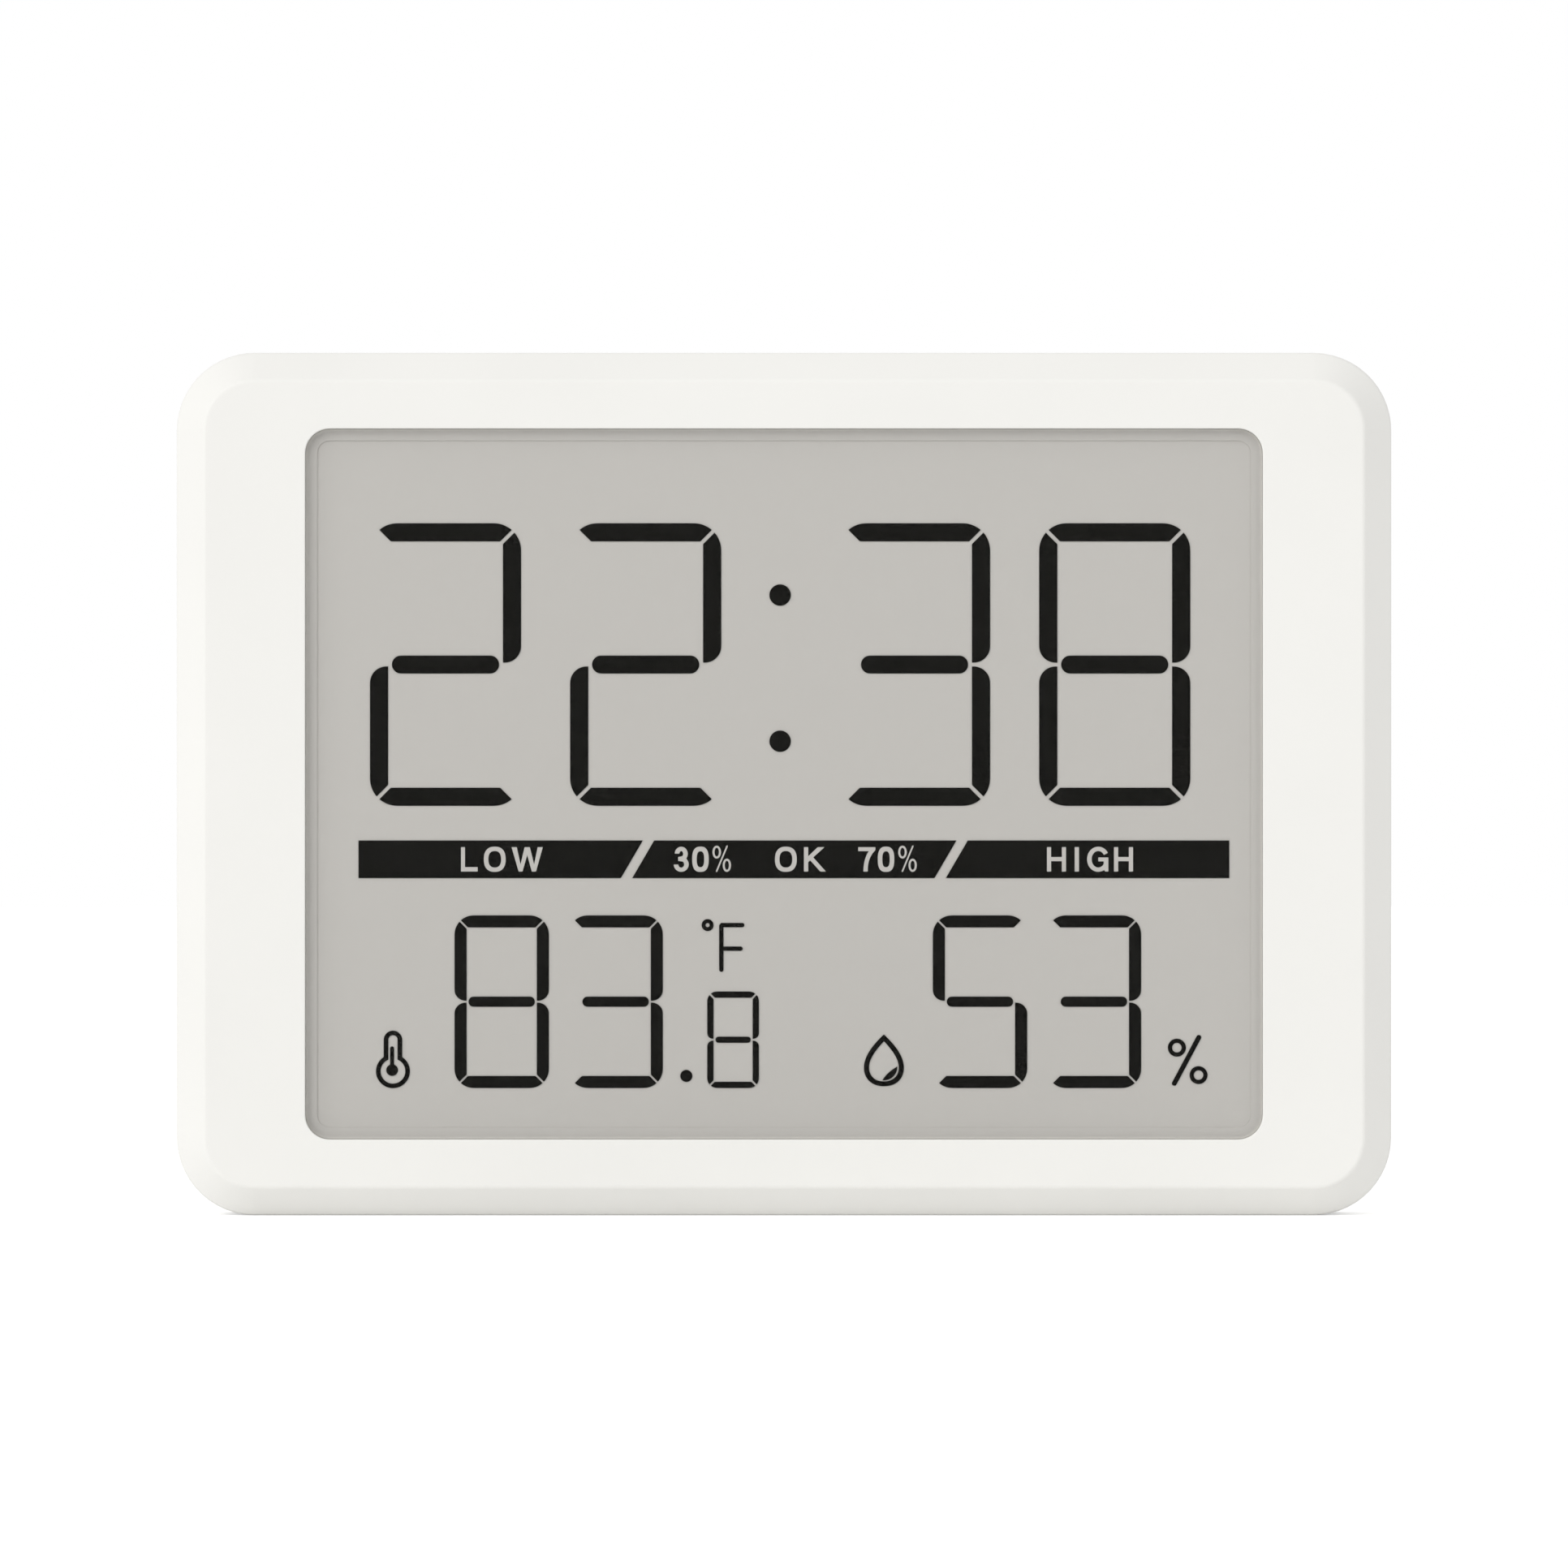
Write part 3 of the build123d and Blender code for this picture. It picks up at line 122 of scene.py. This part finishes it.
# Droplet sign, from the middle of its round part: the outside and inside of its stroke, each with the
# two handles of the curve from its tip to its side, and a shaded patch at the lower right
DROPLET_X = 1089.1
DROPLET_Y = 1315.2
DROPLET_POWER = 2.2
DROPLET_OUTSIDE = {
    "tip": -40.6, "half": 24.6, "depth": 23.2, "first": (14.6, -27.1), "second": (24.6, -13.1),
}
DROPLET_INSIDE = {
    "tip": -32.2, "half": 18.3, "depth": 17.2, "first": (10.2, -21.5), "second": (18.3, -10.4),
}
SHADE_RADIUS_X = 16.4
SHADE_RADIUS_Y = 15.9
SHADE_START = 2.0
SHADE_END = -95.0
SHADE_EDGE = ((-1.8, 15.4), (2.6, 8.7), (8.1, 3.7), (16.4, -1.2))

# Temperature unit: a ring level with the top of a letter that has even strokes with round ends
DEGREE_X = 871.85
DEGREE_RADIUS = 7.35
DEGREE_STROKE = 4.9
UNIT_STROKE = 5.3
UNIT_LEFT = 886.1
UNIT_TOP = 1137.2
UNIT_CORNER_X = 2.3
UNIT_CORNER_Y = 3.0
UNIT_TOP_END = 914.55
UNIT_ARM = 1166.2
UNIT_ARM_END = 912.55
UNIT_FOOT = 1194.85

# Percent sign: two rings, each as its middle and radius, and a slanted bar between two ends
PERCENT_RINGS = ((1450.1, 1290.9, 11.1), (1476.75, 1324.7, 11.05))
PERCENT_STROKE = 5.25
PERCENT_BAR = (1446.9, 1334.9, 1477.1, 1278.2)
PERCENT_BAR_WIDTH = 5.95

# Marks that are sunk into the back, with paint that stays clear of their walls; the triangles on
# two of the buttons point at an angle in degrees, with 90 up
MARK_DEPTH = 0.00025
PAINT_THICKNESS = 0.0001
PAINT_INSET = 0.00002
BUTTON_MARK_RADIUS = 0.0015
BUTTON_TURNS = {"up": 90.0, "down": -90.0}
DOT_RADIUS = 0.0006
DOT_MARGIN = 0.0016
DOOR_GAP = 0.00015


def fresh_tree(owner, output_kind):
    """Emptied node tree of a material or world, and the surface socket of its output."""
    owner.use_nodes = True
    tree = owner.node_tree
    tree.nodes.clear()
    return tree, tree.nodes.new(output_kind).inputs["Surface"]


def node_material(name):
    """A material with one Principled shader."""
    material = bpy.data.materials.new(name)
    tree, surface = fresh_tree(material, "ShaderNodeOutputMaterial")
    shader = tree.nodes.new("ShaderNodeBsdfPrincipled")
    tree.links.new(shader.outputs["BSDF"], surface)
    return material, tree, shader


def noise(tree, scale, detail, stretch=EVEN):
    """Noise in the part's own frame; scale is in waves per metre."""
    place = tree.nodes.new("ShaderNodeTexCoord")
    mapping = tree.nodes.new("ShaderNodeMapping")
    mapping.inputs["Scale"].default_value = stretch
    texture = tree.nodes.new("ShaderNodeTexNoise")
    texture.inputs["Scale"].default_value = scale
    texture.inputs["Detail"].default_value = detail
    tree.links.new(place.outputs["Object"], mapping.inputs["Vector"])
    tree.links.new(mapping.outputs["Vector"], texture.inputs["Vector"])
    return texture.outputs["Fac"]


def spread(tree, value, low, high):
    """Maps a noise value's middle range to low..high."""
    node = tree.nodes.new("ShaderNodeMapRange")
    node.inputs["From Min"].default_value = NOISE_LOW
    node.inputs["From Max"].default_value = NOISE_HIGH
    node.inputs["To Min"].default_value = low
    node.inputs["To Max"].default_value = high
    tree.links.new(value, node.inputs["Value"])
    return node.outputs["Result"]


def two_tone(tree, value, first, second):
    """Colour between two tones."""
    node = tree.nodes.new("ShaderNodeMix")
    node.data_type = "RGBA"
    colours = [socket for socket in node.inputs if socket.type == "RGBA"]
    colours[0].default_value = (*first, 1.0)
    colours[1].default_value = (*second, 1.0)
    tree.links.new(value, node.inputs[0])
    return next(socket for socket in node.outputs if socket.type == "RGBA")


def bump(tree, value, strength, distance):
    """Relief from a height value, as a normal."""
    node = tree.nodes.new("ShaderNodeBump")
    node.inputs["Strength"].default_value = strength
    node.inputs["Distance"].default_value = distance
    tree.links.new(value, node.inputs["Height"])
    return node.outputs["Normal"]


def tones(colour, share):
    """A colour a little darker and a little lighter."""
    return [c * (1 - share) for c in colour], [c * (1 + share) for c in colour]


def moulded(name, colour, variation=0.012, mottle=70.0, roughness=(0.46, 0.58), grain=5200.0, depth=0.00002,
            strength=0.12, specular=0.3, metallic=0.0, stretch=EVEN):
    """Moulded, cast or brushed surface: slow colour change, fine grain in roughness and relief."""
    material, tree, shader = node_material(name)
    slow = spread(tree, noise(tree, mottle, MOTTLE_DETAIL, stretch), 0.0, 1.0)
    tree.links.new(two_tone(tree, slow, *tones(colour, variation)), shader.inputs["Base Color"])
    fine = noise(tree, grain, GRAIN_DETAIL, stretch)
    tree.links.new(spread(tree, fine, *roughness), shader.inputs["Roughness"])
    tree.links.new(bump(tree, fine, strength, depth), shader.inputs["Normal"])
    shader.inputs["Specular IOR Level"].default_value = specular
    shader.inputs["Metallic"].default_value = metallic
    return material


def clear_sheet(name, colour, alpha, roughness, variation=0.03, grain=6000.0, specular=0.5):
    """Thin clear sheet with a fine grain."""
    material, tree, shader = node_material(name)
    fine = noise(tree, grain, GRAIN_DETAIL)
    tree.links.new(two_tone(tree, fine, *tones(colour, variation)), shader.inputs["Base Color"])
    tree.links.new(spread(tree, fine, *roughness), shader.inputs["Roughness"])
    shader.inputs["Alpha"].default_value = alpha
    shader.inputs["Specular IOR Level"].default_value = specular
    return material


# Finish of each material slot: mottle and grain in waves per metre, depth of relief in metres
DISPLAY_SHEET = {
    "colour": (0.557, 0.54, 0.508), "variation": 0.02, "mottle": 9000.0, "roughness": (0.4, 0.55),
    "grain": 9000.0, "depth": 0.00001, "strength": 0.1, "specular": 0.2,
}
METAL = {"variation": 0.05, "depth": 0.00001, "strength": 0.15, "specular": 0.5, "metallic": 1.0}
MOULDED = {
    "white_plastic": {"colour": (0.89, 0.882, 0.848)},
    "button_grey": {"colour": (0.60, 0.59, 0.57), "roughness": (0.36, 0.48)},
    "display_grey": DISPLAY_SHEET,
    "seal_resin": DISPLAY_SHEET,
    "reflector_grey": {
        "colour": (0.52, 0.51, 0.48), "variation": 0.03, "roughness": (0.3, 0.4), "grain": 8000.0,
    },
    "segment_black": {
        "colour": (0.0055, 0.0052, 0.0042), "variation": 0.15, "mottle": 4000.0, "roughness": (0.5, 0.62),
        "grain": 8000.0, "depth": 0.00001, "strength": 0.1, "specular": 0.06,
    },
    "board_green": {
        "colour": (0.02, 0.16, 0.06), "variation": 0.25, "mottle": 600.0, "roughness": (0.25, 0.4),
        "grain": 2500.0,
    },
    "chip_black": {
        "colour": (0.012, 0.012, 0.013), "variation": 0.2, "roughness": (0.3, 0.45), "grain": 5000.0,
    },
    "chip_brown": {
        "colour": (0.35, 0.24, 0.15), "variation": 0.15, "roughness": (0.5, 0.65), "grain": 5000.0,
    },
    "switch_black": {
        "colour": (0.02, 0.02, 0.021), "variation": 0.15, "roughness": (0.4, 0.55), "grain": 5000.0,
    },
    "cell_steel": {
        **METAL, "colour": (0.62, 0.62, 0.63), "roughness": (0.22, 0.34), "grain": 3000.0,
        "stretch": (1.0, 1.0, 0.03),
    },
    "screw_steel": {
        **METAL, "colour": (0.55, 0.55, 0.56), "variation": 0.06, "roughness": (0.24, 0.4), "grain": 6000.0,
        "strength": 0.2,
    },
    "nickel": {**METAL, "colour": (0.65, 0.63, 0.60), "roughness": (0.16, 0.28), "grain": 4000.0},
}
CLEAR = {
    "display_film": {"colour": (0.08, 0.08, 0.076), "alpha": 0.006, "roughness": (0.3, 0.42)},
    "clear_glass": {"colour": (0.08, 0.085, 0.08), "alpha": 0.006, "roughness": (0.02, 0.06)},
}
MATERIALS = {slot: moulded(slot, **finish) for slot, finish in MOULDED.items()}
MATERIALS |= {slot: clear_sheet(slot, **finish) for slot, finish in CLEAR.items()}

for row in frame["record"]["subparts"]:
    materials = frame["nodes"][row["node"]].data.materials
    materials.clear()
    materials.append(MATERIALS[row["material_slot"]])


# Outlines: a shape is one outer outline and a list of holes
def arc(x, y, radius_x, radius_y, start, end, steps=40):
    """Points on an ellipse with y down, angles in degrees with 0 to the right and 90 up."""
    points = []
    for i in range(steps + 1):
        angle = math.radians(start + (end - start) * i / steps)
        points.append((x + radius_x * math.cos(angle), y - radius_y * math.sin(angle)))
    return points


def loop(x, y, radius_x, radius_y, power=2.0, steps=64):
    """Closed oval; a power above 2 squares it off."""
    points = []
    for i in range(steps):
        angle = 2 * math.pi * i / steps
        c, s = math.cos(angle), math.sin(angle)
        points.append((
            x + radius_x * math.copysign(abs(c) ** (2 / power), c),
            y - radius_y * math.copysign(abs(s) ** (2 / power), s),
        ))
    return points


def bezier(p0, p1, p2, p3, steps=20):
    """Points on a cubic curve between two ends, with two handles."""
    points = []
    for i in range(steps + 1):
        t = i / steps
        u = 1 - t
        points.append(tuple(
            u ** 3 * a + 3 * u * u * t * b + 3 * u * t * t * c + t ** 3 * d
            for a, b, c, d in zip(p0, p1, p2, p3)
        ))
    return points


def plain(*points):
    """Shape without holes."""
    return points, []


def oval_ring(x, y, radius_x, radius_y, stroke_x, stroke_y, power=2.0):
    """Oval stroke, with its width at the sides and at top and bottom."""
    inside = loop(x, y, radius_x - stroke_x, radius_y - stroke_y, power)
    return loop(x, y, radius_x, radius_y, power), [inside]


def ring(x, y, radius, stroke):
    """Round stroke of even width."""
    return oval_ring(x, y, radius, radius, stroke, stroke)


def bar(x0, y0, x1, y1, width, steps=12):
    """Straight stroke with round ends."""
    half = width / 2
    angle = math.degrees(math.atan2(y0 - y1, x1 - x0))
    end = arc(x1, y1, half, half, angle - 90, angle + 90, steps)
    start = arc(x0, y0, half, half, angle + 90, angle + 270, steps)
    return plain(*end, *start)


def moved(shapes, x, y):
    """Shapes shifted to a place on the art grid."""
    def shift(points):
        return [(px + x, py + y) for px, py in points]
    return [(shift(outer), [shift(hole) for hole in holes]) for outer, holes in shapes]


# Letters of the comfort bar: art units from each one's top left corner
def letter_l():
    """Stem and foot."""
    width, stem, foot = 20.5, 4.9, 24.6
    base = ((width, LETTER_HEIGHT), (0, LETTER_HEIGHT))
    return [plain((0, 0), (stem, 0), (stem, foot), (width, foot), *base)]


def letter_o():
    """Squared oval."""
    return [oval_ring(
        x=13.4, y=14.9, radius_x=13.4, radius_y=15.5, stroke_x=5.5, stroke_y=5.3, power=2.4,
    )]


def letter_w():
    """Three tops with valleys between them, and two feet with a peak between them."""
    tops = ((0, 6.4), (16.1, 22.5), (32.2, 38.5))
    feet = ((30.1, 25.0), (13.5, 8.8))
    left_top, middle_top, right_top = ([(x, 0) for x in ends] for ends in tops)
    right_foot, left_foot = ([(x, LETTER_HEIGHT) for x in ends] for ends in feet)
    left_valley, right_valley, peak = (11.1, 21.3), (27.8, 21.4), (19.3, 9.6)
    upper = (*left_top, left_valley, *middle_top, right_valley, *right_top)
    lower = (*right_foot, peak, *left_foot)
    return [plain(*upper, *lower)]


def letter_k():
    """Stem with a slanted arm and leg."""
    stem, arm_y, leg_y = 5.2, 11.3, 18.5
    right_notch, leg_start = (11.4, 12.6), (7.6, 16.2)
    arm_tip = ((17.0, 0), (25.2, 0))
    leg_tip = ((26.9, LETTER_HEIGHT), (20.2, LETTER_HEIGHT))
    upper = ((0, 0), (stem, 0), (stem, arm_y), *arm_tip, right_notch)
    lower = (*leg_tip, leg_start, (stem, leg_y), (stem, LETTER_HEIGHT), (0, LETTER_HEIGHT))
    return [plain(*upper, *lower)]


def letter_h():
    """Two stems and a crossbar."""
    width, stem, bar_top, bar_bottom = 23.45, 5.1, 12.15, 17.25
    right = width - stem
    upper = ((0, 0), (stem, 0), (stem, bar_top), (right, bar_top), (right, 0), (width, 0))
    lower = (
        (width, LETTER_HEIGHT), (right, LETTER_HEIGHT), (right, bar_bottom), (stem, bar_bottom),
        (stem, LETTER_HEIGHT), (0, LETTER_HEIGHT),
    )
    return [plain(*upper, *lower)]


def letter_i():
    """One stem."""
    stem = 5.2
    return [plain((0, 0), (stem, 0), (stem, LETTER_HEIGHT), (0, LETTER_HEIGHT))]


def letter_g():
    """Open oval with a shelf and a spur."""
    x, y = 13.8, 14.9
    right, shelf_left, shelf_top, shelf_bottom = 26.2, 13.9, 12.7, 17.5
    spur_left, shelf_right = 22.2, 20.5
    outside = arc(x, y, radius_x=13.8, radius_y=15.45, start=31, end=302)
    inside = arc(x, y, radius_x=8.15, radius_y=10.25, start=327, end=31)
    spur = ((spur_left, LETTER_HEIGHT), (right, LETTER_HEIGHT), (right, shelf_top))
    shelf = ((shelf_left, shelf_top), (shelf_left, shelf_bottom), (shelf_right, shelf_bottom))
    return [plain(*outside, *spur, *shelf, *inside)]


def figure_3():
    """Two open bowls, one on the other, round a short stub."""
    x, upper, lower = 9.5, 8.2, 21.2
    stub = ((5.7, 16.9), (5.7, 12.1))
    outside = arc(x, upper, radius_x=8.0, radius_y=8.7, start=178, end=-38)
    outside += arc(x, lower, radius_x=9.2, radius_y=9.15, start=42, end=-178)
    lower_inside = arc(x, lower, radius_x=3.6, radius_y=4.0, start=-178, end=62)
    upper_inside = arc(x, upper, radius_x=2.3, radius_y=3.4, start=-62, end=178)
    return [plain(*outside, *lower_inside, *stub, *upper_inside)]


def figure_0():
    """Narrow squared oval."""
    return [oval_ring(
        x=10.05, y=14.9, radius_x=10.15, radius_y=15.55, stroke_x=5.55, stroke_y=5.75, power=2.6,
    )]


def figure_7():
    """Top stroke and a curved leg."""
    width, stroke = 21.1, 4.9
    right = bezier((width, 3.7), (15.0, 9.5), (11.3, 18.0), (11.7, LETTER_HEIGHT))
    left = bezier((6.3, LETTER_HEIGHT), (6.5, 18.5), (9.5, 9.5), (13.1, stroke))
    return [plain((0, 0), (width, 0), *right, *left, (0, stroke))]


def small_percent():
    """Two ovals and a slanted bar."""
    stroke = 2.5
    return [
        oval_ring(x=5.2, y=6.1, radius_x=5.25, radius_y=7.9, stroke_x=stroke, stroke_y=stroke),
        oval_ring(x=17.7, y=22.3, radius_x=5.1, radius_y=8.1, stroke_x=stroke, stroke_y=stroke),
        bar(x0=17.9, y0=-1.1, x1=5.1, y1=29.6, width=1.9),
    ]


LETTERS = {
    "L": letter_l(), "O": letter_o(), "W": letter_w(), "K": letter_k(), "H": letter_h(), "I": letter_i(),
    "G": letter_g(), "3": figure_3(), "0": figure_0(), "7": figure_7(), "%": small_percent(),
}


# Signs of the display, on the art grid
def thermometer():
    """Tube with a round bulb, and the column of liquid inside."""
    def contour(bulb, half_tube, tube_y):
        """Round the bulb from neck to neck, then over the tube's round top."""
        neck = math.degrees(math.asin(half_tube / bulb))
        round_part = arc(THERMOMETER_X, BULB_Y, bulb, bulb, 90 - neck, -270 + neck, steps=56)
        return round_part + arc(THERMOMETER_X, tube_y, half_tube, half_tube, 180, 0, steps=24)
    liquid = arc(LIQUID_X, LIQUID_Y, LIQUID_BULB, LIQUID_BULB, 90 - LIQUID_NECK, -270 + LIQUID_NECK)
    liquid += arc(LIQUID_X, LIQUID_TOP_Y, LIQUID_HALF, LIQUID_HALF, 180, 0, steps=12)
    return [(contour(**TUBE_OUTSIDE), [contour(**TUBE_INSIDE)]), plain(*liquid)]


def droplet():
    """Outline of a drop with a shaded side."""
    def contour(tip, half, depth, first, second):
        """Down one curved side, round the lower half of an oval, and up the other side."""
        right = bezier((0.0, tip), first, second, (half, 0.0))
        left = [(-x, y) for x, y in reversed(right[1:])]
        oval = loop(0.0, 0.0, half, depth, DROPLET_POWER, steps=96)
        lower = oval[len(oval) // 2 + 1:]
        return [*right, *reversed(lower), *left]
    outline = contour(**DROPLET_OUTSIDE), [contour(**DROPLET_INSIDE)]
    round_side = arc(0.0, 0.0, SHADE_RADIUS_X, SHADE_RADIUS_Y, SHADE_START, SHADE_END, steps=30)
    shade = plain(*round_side, *bezier(*SHADE_EDGE))
    return moved([outline, shade], DROPLET_X, DROPLET_Y)


def degree_mark():
    """Ring and letter of the temperature unit."""
    half = UNIT_STROKE / 2
    stem_right = UNIT_LEFT + UNIT_STROKE
    corner = ((UNIT_LEFT, UNIT_TOP + UNIT_CORNER_Y), (UNIT_LEFT + UNIT_CORNER_X, UNIT_TOP))
    top_end = arc(UNIT_TOP_END, UNIT_TOP + half, half, half, 90, -90, steps=10)
    notch = ((stem_right, UNIT_TOP + UNIT_STROKE), (stem_right, UNIT_ARM))
    arm_end = arc(UNIT_ARM_END, UNIT_ARM + half, half, half, 90, -90, steps=10)
    below_arm = (stem_right, UNIT_ARM + UNIT_STROKE)
    foot = arc(UNIT_LEFT + half, UNIT_FOOT, half, half, 0, -180, steps=10)
    letter = plain(*corner, *top_end, *notch, *arm_end, below_arm, *foot)
    return [ring(DEGREE_X, UNIT_TOP + half, DEGREE_RADIUS, DEGREE_STROKE), letter]


def percent_mark():
    """Two rings and a slanted bar."""
    rings = [ring(x, y, radius, PERCENT_STROKE) for x, y, radius in PERCENT_RINGS]
    return [*rings, bar(*PERCENT_BAR, PERCENT_BAR_WIDTH)]


def display_art(shapes):
    """Shapes of the art grid in metres, x to the right and z up."""
    def place(points):
        return [((x - ART_X) * ART_UNIT, centre.z + (ART_Y - y) * ART_UNIT) for x, y in points]
    return [(place(outer), [place(hole) for hole in holes]) for outer, holes in shapes]


# Thin pieces cut to shapes
def distinct(points):
    """Corners of a closed outline, without any that repeats the one before."""
    kept = []
    for x, z in points:
        spot = Vector((x, 0.0, z))
        if not kept or (spot - kept[-1]).length > SAME_SPOT:
            kept.append(spot)
    if (kept[0] - kept[-1]).length < SAME_SPOT:
        kept.pop()
    return kept


def add_plate(mesh, outlines, front, back):
    """One closed plate: a near and a far face in triangles, and a wall along each outline."""
    spots = [spot for outline in outlines for spot in outline]
    near = [mesh.verts.new((spot.x, front, spot.z)) for spot in spots]
    far = [mesh.verts.new((spot.x, back, spot.z)) for spot in spots]
    for a, b, c in tessellate_polygon(outlines):
        mesh.faces.new((near[a], near[b], near[c]))
        mesh.faces.new((far[c], far[b], far[a]))
    first = 0
    for outline in outlines:
        count = len(outline)
        for i in range(count):
            here = first + i
            following = first + (i + 1) % count
            mesh.faces.new((near[here], near[following], far[following], far[here]))
        first += count


def plate(name, shapes, front, back, slot, body="casing"):
    """Thin closed plates with the given shapes in metres, standing between two depths."""
    mesh = bmesh.new()
    for outer, holes in shapes:
        add_plate(mesh, [distinct(points) for points in (outer, *holes)], front, back)
    bmesh.ops.recalc_face_normals(mesh, faces=mesh.faces)
    data = bpy.data.meshes.new(name)
    mesh.to_mesh(data)
    mesh.free()
    data.materials.append(MATERIALS[slot])
    piece = bpy.data.objects.new(name, data)
    scene.collection.objects.link(piece)
    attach(piece, body)


# Words on the comfort bar, and signs in the plane of the segments
segment_low, segment_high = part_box("lcd_segments")
for name, letters in BAR_WORDS.items():
    shapes = []
    for letter, x in letters:
        shapes += moved(LETTERS[letter], x, WORD_TOP)
    plate(name, display_art(shapes), segment_low.y - WORD_THICKNESS, segment_low.y, "display_grey")
SIGNS = {
    "thermometer_sign": thermometer, "droplet_sign": droplet, "degree_sign": degree_mark,
    "percent_sign": percent_mark,
}
for name, make in SIGNS.items():
    plate(name, display_art(make()), segment_low.y, segment_high.y, "segment_black")


# Paint in the marks on the back
def paint(name, shape, node, body):
    """Paint on the floor of a mark that is sunk into the back of a node."""
    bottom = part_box(node)[1].y - MARK_DEPTH
    plate(name, [shape], bottom, bottom + PAINT_THICKNESS, "segment_black", body)


def node_centre(node):
    """Middle of a node as seen from the front, and half its width."""
    low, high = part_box(node)
    return (low.x + high.x) / 2, (low.z + high.z) / 2, (high.x - low.x) / 2


def triangle(x, z, radius, turn):
    """Three corners on a circle, the first at an angle in degrees with 90 up."""
    angles = [math.radians(turn + 360 * i / 3) for i in range(3)]
    return plain(*((x + radius * math.cos(angle), z + radius * math.sin(angle)) for angle in angles))


mark_radius = BUTTON_MARK_RADIUS - PAINT_INSET
for name, turn in BUTTON_TURNS.items():
    x, z, _ = node_centre(f"{name}_button")
    paint(f"{name}_paint", triangle(x, z, mark_radius, turn), f"{name}_button", f"{name}_button")
x, z, _ = node_centre("set_button")
ring_width = BUTTON_MARK_RADIUS / 2 - 2 * PAINT_INSET
paint("set_paint", ring(x, z, mark_radius, ring_width), "set_button", "set_button")

door_x, door_z, door_radius = node_centre("battery_door")


def door_dot(reach, turn):
    """Dot at a distance from the door's middle, turned from the top by degrees, clockwise from in front."""
    angle = math.radians(turn)
    radius = DOT_RADIUS - PAINT_INSET
    return plain(*loop(door_x + reach * math.sin(angle), door_z + reach * math.cos(angle), radius, radius))


paint("door_pointer_paint", door_dot(door_radius - DOT_MARGIN, 0.0), "battery_door", "battery_door")
door_joint = next(joint for joint in frame["joints"] if joint["name"] == "battery_door_turn")
for name, turn in zip(("door_shut_paint", "door_open_paint"), door_joint["range_deg"]):
    paint(name, door_dot(door_radius + DOOR_GAP + DOT_MARGIN, turn), "rear_cover", "casing")


# Floor and surround: white to the eye, while the object is lit at a plain level
def seen_directly(tree):
    """1 for rays from the eye, straight or by way of gloss and glass, otherwise 0."""
    path = tree.nodes.new("ShaderNodeLightPath")
    seen = path.outputs["Is Camera Ray"]
    for way in ("Is Glossy Ray", "Is Transmission Ray"):
        either = tree.nodes.new("ShaderNodeMath")
        either.operation = "MAXIMUM"
        tree.links.new(seen, either.inputs[0])
        tree.links.new(path.outputs[way], either.inputs[1])
        seen = either.outputs[0]
    return seen


def floor_material():
    """White that keeps the object's shadow, with a glow that only the eye sees."""
    material = bpy.data.materials.new("floor_white")
    tree, surface = fresh_tree(material, "ShaderNodeOutputMaterial")
    diffuse = tree.nodes.new("ShaderNodeBsdfDiffuse")
    diffuse.inputs["Color"].default_value = (FLOOR_WHITE, FLOOR_WHITE, FLOOR_WHITE, 1.0)
    level = tree.nodes.new("ShaderNodeMath")
    level.operation = "MULTIPLY"
    level.inputs[1].default_value = FLOOR_GLOW
    tree.links.new(seen_directly(tree), level.inputs[0])
    glow = tree.nodes.new("ShaderNodeEmission")
    tree.links.new(level.outputs[0], glow.inputs["Strength"])
    both = tree.nodes.new("ShaderNodeAddShader")
    tree.links.new(diffuse.outputs[0], both.inputs[0])
    tree.links.new(glow.outputs[0], both.inputs[1])
    tree.links.new(both.outputs[0], surface)
    return material


def surround_world():
    """Even light from all round, seen as plain white."""
    world = bpy.data.worlds.new("surround")
    tree, surface = fresh_tree(world, "ShaderNodeOutputWorld")
    background = tree.nodes.new("ShaderNodeBackground")
    background.inputs["Color"].default_value = (1.0, 1.0, 1.0, 1.0)
    level = tree.nodes.new("ShaderNodeMapRange")
    level.inputs["To Min"].default_value = SURROUND
    level.inputs["To Max"].default_value = 1.0
    tree.links.new(seen_directly(tree), level.inputs["Value"])
    tree.links.new(level.outputs["Result"], background.inputs["Strength"])
    tree.links.new(background.outputs[0], surface)
    return world


floor_half = FLOOR_SIZE / 2
floor_signs = ((-1, -1), (1, -1), (1, 1), (-1, 1))
floor_corners = [(x * floor_half, y * floor_half, -FLOOR_DROP) for x, y in floor_signs]
floor_mesh = bpy.data.meshes.new("floor")
floor_mesh.from_pydata(floor_corners, [], [(0, 1, 2, 3)])
floor_mesh.materials.append(floor_material())
floor = bpy.data.objects.new("floor", floor_mesh)
scene.collection.objects.link(floor)
scene.world = surround_world()

# Lamp
lamp = bpy.data.lights.new("key", "SUN")
lamp.angle = math.radians(KEY_ANGLE)
lamp.energy = KEY_LEVEL
key = bpy.data.objects.new("key", lamp)
key.rotation_euler = KEY_DIRECTION.to_track_quat("Z", "Y").to_euler()
scene.collection.objects.link(key)

# Camera
camera_data = bpy.data.cameras.new("camera")
camera_data.sensor_width = SENSOR
camera_data.lens = SENSOR * CAMERA_DISTANCE / FRAME_WIDTH
camera = bpy.data.objects.new("camera", camera_data)
camera.location = (centre.x, cad_low.y + BEVEL_WIDTH - CAMERA_DISTANCE, centre.z)
camera.rotation_euler = (math.radians(90), 0.0, 0.0)
scene.collection.objects.link(camera)
scene.camera = camera

bpy.context.view_layer.update()
